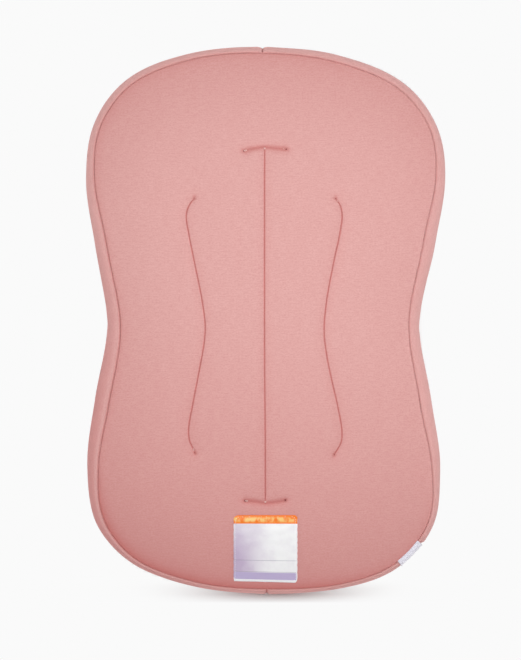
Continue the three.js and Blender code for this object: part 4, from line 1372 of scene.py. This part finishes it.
class LOUNGER_OT_side_bands(bpy.types.Operator):
    """Build the two lengths of the bulging side band."""

    bl_idname = "lounger.side_bands"
    bl_label = "Side Bands"

    def execute(self, context):
        sizes = context.scene.lounger_cover
        turns = band_turns()
        columns = round(shape.outline.length / 2 / sizes.grid_step)
        places = np.linspace(0, 1, columns)
        end_room = EDGE_GAP / shape.outline.length
        crowd = np.array([0.0006, 0.0014, 0.0024, 0.0046, 0.006, 0.0075])
        crowd = crowd / shape.outline.length * 2
        places = np.sort(np.concatenate([places, crowd, 1 - crowd]))
        for side, start in (("right", 0.0), ("left", 0.5)):
            along = start + end_room + places * (0.5 - 2 * end_room)
            bm, across, down = numbered_grid(len(along), len(turns))
            along, turn = along[across], turns[down]
            points = shape.band(along, turn)
            steps = np.abs(along - start - 0.25)
            to_join = (0.25 - steps) * shape.outline.length
            is_foot = points[:, 1] < 0
            join_reach = np.where(is_foot, FOOT_JOIN_REACH, HEAD_JOIN_REACH)
            tuck = bump(to_join, join_reach) * join_reach
            out = way_out(along)
            points[:, :2] -= out * tuck[:, None]
            wave = np.sin(along * 1480 + 2.5 * np.sin(along * 260))
            near_seam = bump(np.minimum(turn, 1 - turn) - 0.06, 0.05)
            ripple = SEAM_GATHER_HEIGHT * wave * near_seam
            uneven = wander(along * 2.1, turn * 0.12, 0.06, 8.4)
            soft = 0.0007 * uneven * np.sin(np.pi * turn)
            points[:, :2] += out * (ripple + soft)[:, None]
            x, y = points[:, 0], points[:, 1]
            lit = lit_side(x, y)
            # Painted shade in the creases of both seams, less on the lit side, and deeper at the
            # joins of the band
            crease = np.maximum(bump(turn, 0.012) * (1 - 0.6 * lit), bump(1 - turn, 0.012))
            crease = np.maximum(crease, np.where(is_foot, 2.4, 0.8) * bump(to_join, join_reach))
            # Painted shade: darker towards the foot, and on the outer part of the band on the left
            # and at the foot, away from the light; a painted highlight takes some of it off the
            # lip below the top seam
            outwards = np.clip(1.25 * np.sin(np.pi * turn) - 0.1, 0, 1) ** 0.8
            far_side_shade = smooth(0.02, 0.14, -x) * smooth(-0.25, 0.2, -y)
            far_side_shade += 0.3 * smooth(0.3, 0.35, -y)
            turned = 0.3 * smooth(0.0, 0.33, -y - 0.2 * x) + np.clip(far_side_shade, 0, 1) * outwards
            paler = (0.35 + 0.35 * smooth(0.0, 0.1, -x)) * bump(turn - 0.05, 0.035)
            turned -= paler * (turn < 0.5)
            place_verts(bm, shape.settle(points))
            bm.normal_update()
            middle = Vector((0, 0, points[:, 2].mean()))
            total = sum((face.calc_center_median() - middle).dot(face.normal) for face in bm.faces)
            if total < 0:
                bmesh.ops.reverse_faces(bm, faces=bm.faces[:])
            cloth = np.column_stack([along * shape.outline.length, turn * BAND_DROP])
            piece = finish_piece(
                f"cover_band_{side}",
                bm,
                "Cover knit",
                (f"side_band_{side}",),
                cloth=cloth,
                shades={"seam_shade": crease * 0.5, "edge_shade": turned},
            )
            add_walls(piece, sizes.fabric)
        return {"FINISHED"}


class LOUNGER_OT_base_panels(bpy.types.Operator):
    """Build the underside in two halves, folded in at the zip."""

    bl_idname = "lounger.base_panels"
    bl_label = "Base Panels"

    def execute(self, context):
        sizes = context.scene.lounger_cover
        pocket_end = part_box("zip_stitching_left")[1].y
        ends = LENGTH / 2 - bulge_at(LENGTH / 2) - BASE_BLOCK_INSET
        rows = np.linspace(-ends, ends, round(2 * ends / 0.0042))
        fine = metres(-7, -5.2, -4, -3.2, -2.6, -2, -1.5, -1, -0.5, 0, 0.5, 1.2, 2.4, 4, 6)
        for end in (-pocket_end, pocket_end):
            kept = rows[np.abs(rows - end) > 0.008]
            rows = np.sort(np.concatenate([kept, end + fine * np.sign(end)]))
        steps = metres(
            0, 0.4, 0.9, 1.6, 2.2, 2.7, 3.1, 3.5, 3.9, 4.3, 4.7, 5.1, 5.6, 6.4, 7.8, 10
        )
        spread = np.linspace(0, 1, 46)[1:]

        def columns_at(along_at, half_width):
            """The columns of each row, crowded where the panel folds in at the zip."""
            y = along_at(np.zeros(len(half_width)))
            past_end = smooth(pocket_end - 0.0035, pocket_end - 0.0015, np.abs(y))
            edge = ZIP_FLANGE * (1 - past_end) + EDGE_GAP
            first = edge[:, None] + steps[None, :]
            rest = first[:, -1:] + (half_width[:, None] - first[:, -1:]) * spread[None, :]
            return np.hstack([first, rest])

        x, y = map_block(BASE_BLOCK_INSET, rows, columns_at)
        for side, name in ((1, "right"), (-1, "left")):
            bm, across, along = numbered_grid(x.shape[1], x.shape[0])
            flat = np.column_stack([x[along, across], y[along, across], np.zeros(len(across))])
            place_verts(bm, flat)
            bm.verts.ensure_lookup_table()
            inner = {vert for vert, column in zip(bm.verts, across) if column == 0}
            rim = [edge for edge in bm.edges if edge.is_boundary]
            edges = [edge for edge in rim if not inner.issuperset(edge.verts)]
            extrude_rings(bm, edges, BASE_RING_INSETS)
            points = coordinates(bm)
            px, py = np.maximum(points[:, 0], EDGE_GAP), points[:, 1]
            z = shape.base(px, py)
            out = shape.outline.seam_share(px, py)
            z += 0.0002 * (1 + wander(px, py, 0.05, 5.2)) * (out < 0.9) * (px > 0.02)
            z += np.abs(seam_puckers(px, py, out))
            # Painted shade in the base seam and along the join of the two halves; the edge shade
            # darkens towards the perimeter
            shade = 0.8 * smooth(0.985, 1.0, out)
            shade = np.maximum(shade, bump(px, 0.0012) * (np.abs(py) > pocket_end + 0.004))
            place_verts(bm, shape.lean(np.column_stack([px * side, py, z])))
            turn_outwards(bm, False)
            piece = finish_piece(
                f"cover_base_{name}",
                bm,
                "Base knit",
                (f"base_panel_{name}",),
                cloth=np.column_stack([px * side, py]),
                shades={"seam_shade": shade, "edge_shade": 0.5 * smooth(0.9, 1.0, out)},
            )
            add_walls(piece, sizes.fabric * 0.9)
        return {"FINISHED"}


def stitch_mesh():
    """One stitch as a small spindle that lies along Y."""
    found = bpy.data.meshes.get("stitch")
    if found is None:
        bm = bmesh.new()
        bmesh.ops.create_uvsphere(bm, u_segments=6, v_segments=5, radius=1.0)
        bmesh.ops.rotate(bm, verts=bm.verts[:], matrix=Matrix.Rotation(math.pi / 2, 3, "X"))
        found = new_mesh("stitch", bm)
    return found


# How much a stitch turns aside, each the other way from the one before it
STITCH_SLANT = 0.12


def add_stitches(bm, route, normals, stitch, gap, radius, dip=0.3):
    """A row of stitches along a route, each set into the cloth by a share of its radius."""
    route, normals = np.asarray(route, float), np.asarray(normals, float)
    along = np.concatenate([[0], np.cumsum(np.linalg.norm(np.diff(route, axis=0), axis=1))])
    count = max(1, round(along[-1] / (stitch + gap)))
    pitch = along[-1] / count
    half = (pitch - gap) / 2
    middles = (np.arange(count) + 0.5) * pitch

    def at(values, places):
        """Values of the route at distances along it."""
        return np.column_stack([np.interp(places, along, values[:, k]) for k in range(3)])

    def unit(values):
        """Directions of length 1."""
        return values / np.linalg.norm(values, axis=1)[:, None]

    forward = unit(at(route, middles + half) - at(route, middles - half))
    side = unit(np.cross(forward, at(normals, middles)))
    up = np.cross(side, forward)
    slant = STITCH_SLANT * (1 - 2 * (np.arange(count) % 2))[:, None]
    forward, side = unit(forward + slant * side), unit(side - slant * forward)
    middle = at(route, middles) + up * radius * (1 - dip)
    template = stitch_mesh()
    unit_points = np.array([vert.co for vert in template.vertices])
    first = len(bm.verts)
    for _ in range(count):
        bm.from_mesh(template)
    bm.verts.ensure_lookup_table()
    parts = (side * radius, forward * half, up * radius)
    points = sum(unit_points[None, :, k, None] * part[:, None, :] for k, part in enumerate(parts))
    points = (points + middle[:, None, :]).reshape(-1, 3)
    for vert, point in zip(bm.verts[first:], points):
        vert.co = point


def on_top(points, lift=0.0):
    """Places on the finished top panel, in straight coordinates of x and y."""
    points = np.asarray(points, float).reshape(-1, 2)
    z = shape.top(points[:, 0], points[:, 1]) + lift
    return shape.settle(np.column_stack([points, z]))


# Threads inside a seam, where no single stitch shows
HIDDEN_THREADS = (
    "top_seam_thread",
    "base_seam_thread",
    "base_join_thread_head",
    "base_join_thread_foot",
)
# How deep the stitches of a band join sit in it
JOIN_STITCH_DEPTH = 0.0009


class LOUNGER_OT_sewn_threads(bpy.types.Operator):
    """Sew the lines of the top panel, the joins of the band and the hidden seams."""

    bl_idname = "lounger.sewn_threads"
    bl_label = "Sewn Threads"

    def row(self, name, node, route, normals, dip=0.3):
        """A row of stitches, as the piece that stands for the thread of a seam."""
        trim = bpy.context.scene.lounger_trim
        bm = bmesh.new()
        add_stitches(bm, route, normals, trim.stitch, trim.stitch_gap, trim.thread, dip)
        finish_piece(name, bm, "Sewing thread", (node,))

    def execute(self, context):
        rows = {
            "spine": ("spine_seam_stitches", "spine_seam_thread"),
            "head_cross": ("cross_seam_stitches_head", "cross_seam_thread_head"),
            "foot_cross": ("cross_seam_stitches_foot", "cross_seam_thread_foot"),
            "left_contour": ("contour_seam_stitches_left", "contour_seam_thread_left"),
            "right_contour": ("contour_seam_stitches_right", "contour_seam_thread_right"),
        }
        for line, (name, node) in rows.items():
            route = on_top(spaced(shape.lines[line].points, 240))
            self.row(name, node, route, np.tile(UP, (len(route), 1)), 0.8)
        turns = np.linspace(0.03, 0.97, 60)
        for end, along in (("head", 0.0), ("foot", 0.5)):
            name, node = f"band_join_stitches_{end}", f"band_join_thread_{end}"
            places = np.full(len(turns), along)
            route, out = shape.band(places, turns), way_out(places)
            route[:, :2] -= out * JOIN_STITCH_DEPTH
            sideways, upwards = np.sin(np.pi * turns), np.cos(np.pi * turns)
            normals = np.column_stack([out * sideways[:, None], upwards])
            self.row(name, node, shape.settle(route), normals)
        for side in ("left", "right"):
            name, node = f"zip_stitches_{side}", f"zip_stitching_{side}"
            low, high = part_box(f"zip_stitching_{side}")
            y = np.linspace(low.y + 0.003, high.y - 0.003, 300)
            x = np.full(len(y), (low.x + high.x) / 2)
            route = np.column_stack([x, y, shape.base(x, y)])
            self.row(name, node, route, np.tile(-UP, (len(route), 1)))
        for node in HIDDEN_THREADS:
            piece = finish_piece(f"{node}_sewn", solid_mesh(node), "Sewing thread", (node,))
            place_leaning(piece.data)
        return {"FINISHED"}


# The cross of a tack: how far each stitch is turned from the line, and its length
CROSS_STITCHES = ((0.85, 0.0036), (-0.75, 0.0030), (math.pi / 2, 0.0022))


class LOUNGER_OT_tacks(bpy.types.Operator):
    """Sew the small tacks at the ends of the sewn lines."""

    bl_idname = "lounger.tacks"
    bl_label = "Tacks"

    def stitch(self, bm, place, forward, length, radius, turn=0.0, lift=0.0002):
        """One short stitch centred on a place, turned from the way the line runs."""
        way = Vector(forward)
        way.rotate(Matrix.Rotation(turn, 2))
        flat = [Vector(place) + way * length * part for part in (-0.5, 0.0, 0.5)]
        route = on_top([tuple(point) for point in flat], lift)
        route[:, 2] = np.maximum(route[:, 2], route[1, 2])
        add_stitches(bm, route, np.tile(UP, (3, 1)), length, 0.0, radius, 0.4)

    def cross(self, bm, place, forward, radius):
        """A tight cross of dark thread over the end of a line, dark partly as painted shade of the
        dimple there.
        """
        for turn, length in CROSS_STITCHES:
            self.stitch(bm, place, forward, length, radius, turn, 0.0005)

    def tack(self, kind, end, side, ends, radius):
        """One tack, from the last two points of its line; the way that the line runs out."""
        forward = Vector(ends[0] - ends[1]).normalized()
        bm = bmesh.new()
        self.cross(bm, ends[0], forward, radius)
        name, node = f"{kind}_tack_stitches_{end}_{side}", f"{kind}_tack_{end}_{side}"
        finish_piece(name, bm, "Bar tack thread", (node,))
        return forward

    def loop(self, bm, place, forward, long, wide, radius):
        """A small loop of thread that stands at the end of a line."""
        turns = np.linspace(0, 2 * np.pi, 25)
        side = Vector((-forward.y, forward.x))
        middle = Vector(place)
        flat = [
            middle + forward * long * math.cos(turn) + side * wide * math.sin(turn)
            for turn in turns
        ]
        height = on_top([place])[0, 2] + 0.0009
        route = shape.settle([[p.x, p.y, height] for p in flat])
        add_stitches(bm, route, np.tile(UP, (25, 1)), 0.0011, -0.0004, radius, 0.5)

    def execute(self, context):
        radius = context.scene.lounger_trim.tack_thread
        knots = bmesh.new()
        for end in ("head", "foot"):
            line = shape.lines[f"{end}_cross"].points
            for side in ("left", "right"):
                ends = line[:2] if side == "left" else line[:-3:-1]
                forward = self.tack("cross", end, side, ends, radius)
                if side == "left":
                    middle = ends[0] - 0.0020 * np.array(forward)
                    self.loop(knots, middle, forward, 0.0019, 0.0005, radius * 0.75)
                elif end == "head":
                    middle = ends[0] - 0.0036 * np.array(forward)
                    self.stitch(knots, middle, forward, 0.0022, radius * 0.75)
        for side in ("left", "right"):
            line = shape.lines[f"{side}_contour"].points
            for end in ("head", "foot"):
                ends = line[:2] if end == "head" else line[:-3:-1]
                is_looped = (side == "left") == (end == "foot")
                thick = radius * (0.5 if is_looped else 0.7)
                forward = self.tack("contour", end, side, ends, thick)
                if is_looped:
                    length = 0.0048 if end == "foot" else 0.0028
                    middle = ends[0] - 0.0042 * np.array(forward)
                    self.stitch(knots, middle, forward, length, radius * 0.8)
        for index, inwards in ((0, -1), (-1, 1)):
            middle = shape.lines["spine"].points[index] + (0, 0.0014 * inwards)
            for turn in (0.0, 1.1, -1.0):
                self.stitch(knots, middle, (0, 1), 0.0029, radius, turn)
        finish_piece("pale_knots", knots, "Tack thread", ())
        return {"FINISHED"}


# Radii of the upper corners of the label, left and right
LABEL_TOP_CORNERS = (0.0052, 0.0032)


class LOUNGER_OT_label(bpy.types.Operator):
    """Build the wordless satin label patch and the stitches round it."""

    bl_idname = "lounger.label"
    bl_label = "Label Patch"

    def plan(self, u, v, inset=0.0):
        """A place of the label, from 0 to 1 across and up, with the lower corners cut off."""
        trim = bpy.context.scene.lounger_trim
        low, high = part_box("label_patch")
        middle_y = (low.y + high.y) / 2
        half_w, half_h = trim.label_width / 2 - inset, trim.label_height / 2 - inset
        x, y = (2 * u - 1) * half_w, (2 * v - 1) * half_h
        y = y + 0.0005 + (0.00065 - 0.00105 * x / half_w) * (1 - v)
        x = x - np.sign(x) * 0.0004 * self.dents(y) * bump(half_w - np.abs(x), 0.004)
        low_room = np.clip(y + half_h, 0, None)
        cut = np.clip(trim.label_corner - low_room, 0, None)
        x = x * (half_w - cut) / half_w
        top_room = np.clip(half_h - y, 0, None)
        corner = np.where(x < 0, *LABEL_TOP_CORNERS)
        rounded = np.clip(corner - top_room, 0, None)
        x = x * (half_w - corner + np.sqrt(np.maximum(corner**2 - rounded**2, 0))) / half_w
        return x, y + middle_y

    def dents(self, along):
        """Where the stitches pull the sides of the patch, from 0 to 1."""
        return (0.5 + 0.5 * np.sin(along * 2 * np.pi / 0.0083 + 1.6 * np.sin(along * 90))) ** 3

    def wrinkle(self, x, y):
        """Soft folds of the satin."""
        folds = 0.0003 * np.sin(y * 420 + 2.5 * np.sin(x * 95)) * smooth(0.0, 0.02, np.abs(x))
        return folds * 0.5 + 0.0005 * wander(x, y * 1.8, 0.017, 1.7)

    def execute(self, context):
        trim = context.scene.lounger_trim
        columns, rows = 72, 76
        bm, across, along = numbered_grid(columns, rows)
        u, v = across / (columns - 1), along / (rows - 1)
        x, y = self.plan(u, v)
        lift = 0.00075 + np.clip(self.wrinkle(x, y), -0.0003, 0.001)
        edge = np.minimum(
            np.minimum(u, 1 - u) * trim.label_width, np.minimum(v, 1 - v) * trim.label_height
        )
        lift = 0.0007 + (lift - 0.0007) * smooth(0.0, 0.006, edge)
        pulled = np.where(np.abs(x) > np.abs(y - y.mean()), self.dents(y), self.dents(x))
        z = shape.crown(x, y) + lift - (0.0003 + 0.0005 * pulled) * bump(edge, 0.003)
        place_verts(bm, shape.settle(np.column_stack([x, y, z]), False))
        turn_outwards(bm, True)
        cloth = np.column_stack([u * trim.label_width, v * trim.label_height])
        patch = finish_piece(
            "label_satin_patch", bm, "Label satin", ("label_patch",), cloth=cloth
        )
        add_walls(patch, trim.label_thickness)
        inset = stitch = 0.0022
        t = np.linspace(0, 1, 60)
        sides = (
            (np.zeros(60), t, 0.5),
            (t, np.ones(60), 0.85),
            (np.ones(60), 1 - t, 0.5),
            (1 - t, np.zeros(60), 0.5),
        )
        bm = bmesh.new()
        for part_u, part_v, dip in sides:
            px, py = self.plan(part_u, part_v, inset)
            pz = shape.crown(px, py) + (0.0005 if dip < 0.8 else 0.0002)
            route = shape.settle(np.column_stack([px, py, pz]), False)
            add_stitches(bm, route, np.tile(UP, (60, 1)), stitch, 0.0009, 0.0002, dip)
        stitches = finish_piece("label_stitches", bm, "Label thread", ("label_stitching",))
        return {"FINISHED"}


class LOUNGER_OT_side_tag(bpy.types.Operator):
    """Build the folded side tag that hangs from the top seam over the band."""

    bl_idname = "lounger.side_tag"
    bl_label = "Side Tag"

    def execute(self, context):
        trim = context.scene.lounger_trim
        half = trim.tag_width / 2 / shape.outline.length
        middle = shape.outline.tag_place + 0.0018 / shape.outline.length
        columns, rows = 28, 34
        turns = np.linspace(0.004, 0.5, 400)
        section = shape.band(np.full(400, middle), turns)
        down = np.concatenate([[0], np.cumsum(np.linalg.norm(np.diff(section, axis=0), axis=1))])
        reach = min(trim.tag_drop, down[-1])
        bm, across, along = numbered_grid(columns, 2 * rows)
        place = middle + half * (2 * across / (columns - 1) - 1)
        travel = along / (2 * rows - 1) * 2
        depth = reach * np.where(travel < 1, travel, 2 - travel)
        layer = smooth(0.97, 1.03, travel)
        stand_off = 0.0006 + 0.0007 * layer + 0.0005 * smooth(0.5, 1.0, depth / reach) * layer
        flutter = 0.0004 * np.sin(across / (columns - 1) * 7 + 1.2) * depth / reach
        stand_off = stand_off + np.maximum(flutter, 0) + 0.0010 * bump(depth - 0.007, 0.006)
        points = shape.band(place, np.interp(depth, down, turns), stand_off)
        caught = bump(depth, 0.0017)
        points[:, :2] -= way_out(place) * (0.0012 * caught)[:, None]
        points[:, 2] += 0.0010 * caught
        place_verts(bm, shape.settle(points))
        bmesh.ops.recalc_face_normals(bm, faces=bm.faces[:])
        tag = finish_piece("side_tag_tape", bm, "Side tag tape", ("side_tag",))
        add_walls(tag, 0.00022)
        return {"FINISHED"}


class LOUNGER_OT_zip_tapes(bpy.types.Operator):
    """Build the woven zip tapes and the nylon coils."""

    bl_idname = "lounger.zip_tapes"
    bl_label = "Zip Tapes and Coils"

    def tape(self, side):
        """One woven tape, thicker beside its coil."""
        low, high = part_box(f"zip_tape_{side}")
        bm, across, along = numbered_grid(12, 221)
        u, v = across / 11, along / 220
        x = low.x + (high.x - low.x) * u
        y = low.y + (high.y - low.y) * v
        coil_side = low.x if side == "right" else high.x
        z = low.z + 0.0002 + 0.00015 * bump(x - coil_side, 0.0012)
        place_verts(bm, np.column_stack([x, y, z]))
        turn_outwards(bm, False)
        tape = finish_piece(f"zip_tape_cloth_{side}", bm, "Zip tape", (f"zip_tape_{side}",))
        add_walls(tape, 0.0005)

    def coil(self, side, pitch, wire):
        """One nylon coil: a wire wound round a thin core."""
        low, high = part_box(f"zip_coil_{side}")
        middle = (low + high) / 2
        radius = (high.z - low.z) / 2
        turns = int((high.y - low.y) / pitch)
        per_turn, sides = 9, 5
        bm, around, along = numbered_grid(sides + 1, turns * per_turn + 1)
        turn = along * math.tau / per_turn
        around = around * math.tau / sides
        reach = radius - wire + wire * np.cos(around)
        x, z = middle.x + reach * np.cos(turn), middle.z + reach * np.sin(turn)
        y = low.y + wire + (high.y - low.y - 2 * wire) * along / along.max()
        y = y + wire * np.sin(around)
        place_verts(bm, np.column_stack([x, y, z]))
        bmesh.ops.remove_doubles(bm, verts=bm.verts[:], dist=WELD)
        bmesh.ops.holes_fill(bm, edges=[edge for edge in bm.edges if edge.is_boundary], sides=6)
        core = radius - 2.2 * wire
        bmesh.ops.create_cone(
            bm,
            cap_ends=True,
            segments=10,
            radius1=core,
            radius2=core,
            depth=high.y - low.y - 0.0008,
            matrix=Matrix.Translation(middle) @ Matrix.Rotation(math.pi / 2, 4, "X"),
        )
        bmesh.ops.recalc_face_normals(bm, faces=bm.faces[:])
        finish_piece(f"zip_coil_turns_{side}", bm, "Zip nylon", (f"zip_coil_{side}",))

    def execute(self, context):
        trim = context.scene.lounger_trim
        for side in ("left", "right"):
            self.tape(side)
            self.coil(side, trim.coil_pitch, trim.coil_wire)
        return {"FINISHED"}


def place_leaning(mesh):
    """Moves a mesh of the inside along with the seams and the lean of the cover."""
    places = np.zeros(len(mesh.vertices) * 3, np.float32)
    mesh.vertices.foreach_get("co", places)
    places = places.reshape(-1, 3).astype(float)
    x, y = places[:, 0].copy(), places[:, 1].copy()
    drawn = np.maximum(widening_at(x, y), 0) * smooth(0.75, 0.97, shape.outline.seam_share(x, y))
    places[:, :2] *= (1 - drawn / np.maximum(np.hypot(x, y), 0.01))[:, None]
    leaning = shape.lean(places)
    mesh.vertices.foreach_set("co", leaning.ravel().astype(np.float32))
    mesh.update()


def rounded_copy(node, suffix, finish, radius, body="cushion"):
    """A copy of a solid with its edges rounded."""
    bm = solid_mesh(node)
    flat, corner = math.radians(2), math.radians(30)
    bmesh.ops.dissolve_limit(bm, angle_limit=flat, verts=bm.verts[:], edges=bm.edges[:])
    bmesh.ops.recalc_face_normals(bm, faces=bm.faces[:])
    joined = [edge for edge in bm.edges if edge.is_manifold]
    sharp = [edge for edge in joined if edge.calc_face_angle(0) > corner]
    bmesh.ops.bevel(
        bm,
        geom=sharp,
        offset=radius,
        offset_type="OFFSET",
        segments=2,
        profile=0.5,
        affect="EDGES",
        clamp_overlap=True,
        material=-1,
    )
    bmesh.ops.triangulate(bm, faces=[face for face in bm.faces if len(face.verts) > 4])
    return finish_piece(f"{node}_{suffix}", bm, finish, (node,), body=body, is_smooth=False)


class LOUNGER_OT_zip_hardware(bpy.types.Operator):
    """Round off the metal slider, its pull tab and the stops."""

    bl_idname = "lounger.zip_hardware"
    bl_label = "Zip Slider and Stops"

    def execute(self, context):
        rounded_copy("zip_slider", "body", "Zip metal", 0.00022, "slider")
        rounded_copy("zip_pull_tab", "body", "Zip metal", 0.00025, "pull_tab")
        for node in ("zip_closed_stop_left", "zip_closed_stop_right", "zip_open_stop"):
            rounded_copy(node, "body", "Zip metal", 0.0003)
        return {"FINISHED"}


class LOUNGER_OT_inner_layers(bpy.types.Operator):
    """Soften the padding, casing and foam inside the cover."""

    bl_idname = "lounger.inner_layers"
    bl_label = "Inner Layers"

    def execute(self, context):
        layers = {
            "top_quilt_wadding": ("Fibre fill", 0.5),
            "base_wadding_left": ("Fibre fill", 0.5),
            "base_wadding_right": ("Fibre fill", 0.5),
            "fibre_wrap_top": ("Fibre fill", 0.7),
            "fibre_wrap_base": ("Fibre fill", 0.7),
            "inner_casing_top": ("Casing cloth", 0.7),
            "inner_casing_base": ("Casing cloth", 0.7),
            "foam_core": ("Foam", 0.9),
        }
        for node, (finish, fill) in layers.items():
            piece = rounded_copy(node, "soft", finish, 0.0002)
            place_leaning(piece.data)
        return {"FINISHED"}


# Shadow under the foot end: its middle across, its spread, and where it starts and ends along
FOOT_SHADOW_MIDDLE = 0.012
FOOT_SHADOW_SPREAD = 0.0885
FOOT_SHADOW_OUTER = (-0.3690, -0.3575)
FOOT_SHADOW_INNER = (-0.352, -0.338)
# The floor reaches this far, and is finely divided up to the cushion's own reach
FLOOR_REACH = 12.0


class LOUNGER_OT_stage(bpy.types.Operator):
    """Set up the camera, the lamps, the floor and the backdrop."""

    bl_idname = "lounger.stage"
    bl_label = "Stage"

    def execute(self, context):
        studio, colours = context.scene.lounger_studio, context.scene.lounger_colours
        lens = bpy.data.cameras.new("camera")
        lens.sensor_fit = "HORIZONTAL"
        lens.sensor_width = 36.0
        lens.lens = 36.0 * studio.camera_height / studio.view_width
        lens.clip_end = 200.0
        camera = new_object("camera", lens)
        camera.location = (studio.camera_x, studio.camera_y, studio.camera_height)
        context.scene.camera = camera
        lamp = bpy.data.lights.new("key_lamp", "AREA")
        lamp.shape = "DISK"
        lamp.size = studio.key_size
        drop = studio.key_height - TOP_SEAM
        lamp.energy = studio.key_share * (math.pi * drop) ** 2
        key = new_object("key_lamp", lamp)
        key.location = (studio.key_x, studio.key_y, studio.key_height)
        key.visible_camera = False
        world = bpy.data.worlds.new("studio")
        context.scene.world = world
        world.use_nodes = True
        tree = Tree(world.node_tree)
        sky = next(node for node in tree.nodes if node.type == "BACKGROUND")
        sky.inputs["Color"].default_value = (1, 1, 1, 1)
        shown = tree.seen_directly()
        _, _, up = tree.split(tree.add("ShaderNodeTexCoord")["Generated"])
        falloff = studio.tent_falloff
        brightest = (falloff + 1) * (falloff + 2) / 2 * (1.0 - studio.key_share)
        tent = tree.math("POWER", 1.0 - abs(up), falloff) * brightest
        tree.set(sky.inputs["Strength"], shown * colours.floor[0] + (1.0 - shown) * tent)
        columns, rows = (
            np.concatenate([[-FLOOR_REACH], np.linspace(-reach, reach, count), [FLOOR_REACH]])
            for reach, count in ((0.25, 101), (0.37, 149))
        )
        bm, across, along = numbered_grid(len(columns), len(rows))
        x, y = columns[across], rows[along]
        place_verts(bm, np.column_stack([x, y, np.full(len(x), FLOOR_LEVEL)]))
        turn_outwards(bm, True)
        mesh = new_mesh("floor", bm)
        covered = shape.outline.reach(x, y) + bulge_at(y) + widening_at(x, y) - np.hypot(x, y)
        covered = smooth(0.002, 0.007, covered)
        mesh.attributes.new("covered", "FLOAT", "POINT").data.foreach_set("value", covered)
        floor = new_object("floor", mesh)
        paper, tree, shader = new_material("Floor", Specular_IOR_Level=0.0, Roughness=0.9)
        shader.inputs["Base Color"].default_value = (*colours.floor, 1.0)
        across, along, _ = tree.split(tree.place())
        beside = (across - FOOT_SHADOW_MIDDLE) / FOOT_SHADOW_SPREAD
        sides = tree.math("EXPONENT", beside * beside * -1.0)
        below = tree.ramp(along, *FOOT_SHADOW_OUTER, kind="LINEAR")
        above = tree.ramp(along, *FOOT_SHADOW_INNER, 1.0, 0.0)
        shadowed = tree.math("MAXIMUM", below * above * sides, tree.attribute("covered"))
        share_shown = tree.seen_directly() * (1.0 - shadowed * studio.shadow_share)
        glow = tree.add("ShaderNodeEmission", {"Color": (*colours.floor, 1.0), "Strength": 1.0})
        ends = {0: share_shown, 1: Value(tree, shader.outputs[0]), 2: glow["Emission"]}
        both = tree.add("ShaderNodeMixShader", ends)
        output = next(node for node in tree.nodes if node.type == "OUTPUT_MATERIAL")
        tree.set(output.inputs["Surface"], both["Shader"])
        mesh.materials.append(paper)
        context.scene.view_settings.view_transform = "Standard"
        return {"FINISHED"}


class LOUNGER_PT_sidebar(bpy.types.Panel):
    """Lists the steps that build the lounger."""

    bl_idname = "LOUNGER_PT_sidebar"
    bl_label = "Infant Lounger"
    bl_space_type = "VIEW_3D"
    bl_region_type = "UI"
    bl_category = "Lounger"

    def draw(self, context):
        """Draws a button for each step and a box for each group of values."""
        for step in STEPS:
            self.layout.operator(step.bl_idname)
        for group in ("lounger_cover", "lounger_trim", "lounger_colours", "lounger_studio"):
            box = self.layout.box()
            values = getattr(context.scene, group)
            for name in values.bl_rna.properties.keys():
                if name not in ("rna_type", "name"):
                    box.prop(values, name)


STEPS = (
    LOUNGER_OT_stage,
    LOUNGER_OT_swell_padding,
    LOUNGER_OT_top_panel,
    LOUNGER_OT_side_bands,
    LOUNGER_OT_base_panels,
    LOUNGER_OT_sewn_threads,
    LOUNGER_OT_tacks,
    LOUNGER_OT_label,
    LOUNGER_OT_side_tag,
    LOUNGER_OT_zip_tapes,
    LOUNGER_OT_zip_hardware,
    LOUNGER_OT_inner_layers,
)
GROUPS_OF_VALUES = {
    "lounger_cover": LoungerCoverSizes,
    "lounger_trim": LoungerTrimSizes,
    "lounger_colours": LoungerColours,
    "lounger_studio": LoungerStudio,
}


def register():
    """Registers the add-on and its groups of values."""
    for kind in (*GROUPS_OF_VALUES.values(), *STEPS, LOUNGER_PT_sidebar):
        bpy.utils.register_class(kind)
    for name, kind in GROUPS_OF_VALUES.items():
        setattr(bpy.types.Scene, name, PointerProperty(type=kind))


def unregister():
    """Takes the add-on away again."""
    for name in GROUPS_OF_VALUES:
        delattr(bpy.types.Scene, name)
    for kind in (LOUNGER_PT_sidebar, *reversed(STEPS), *GROUPS_OF_VALUES.values()):
        bpy.utils.unregister_class(kind)


def main():
    """Builds the lounger step by step."""
    global shape
    register()
    shape = Shape()
    for step in STEPS:
        if step is LOUNGER_OT_swell_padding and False:
            continue
        group, _, name = step.bl_idname.partition(".")
        getattr(getattr(bpy.ops, group), name)()


if __name__ == "__main__":
    main()
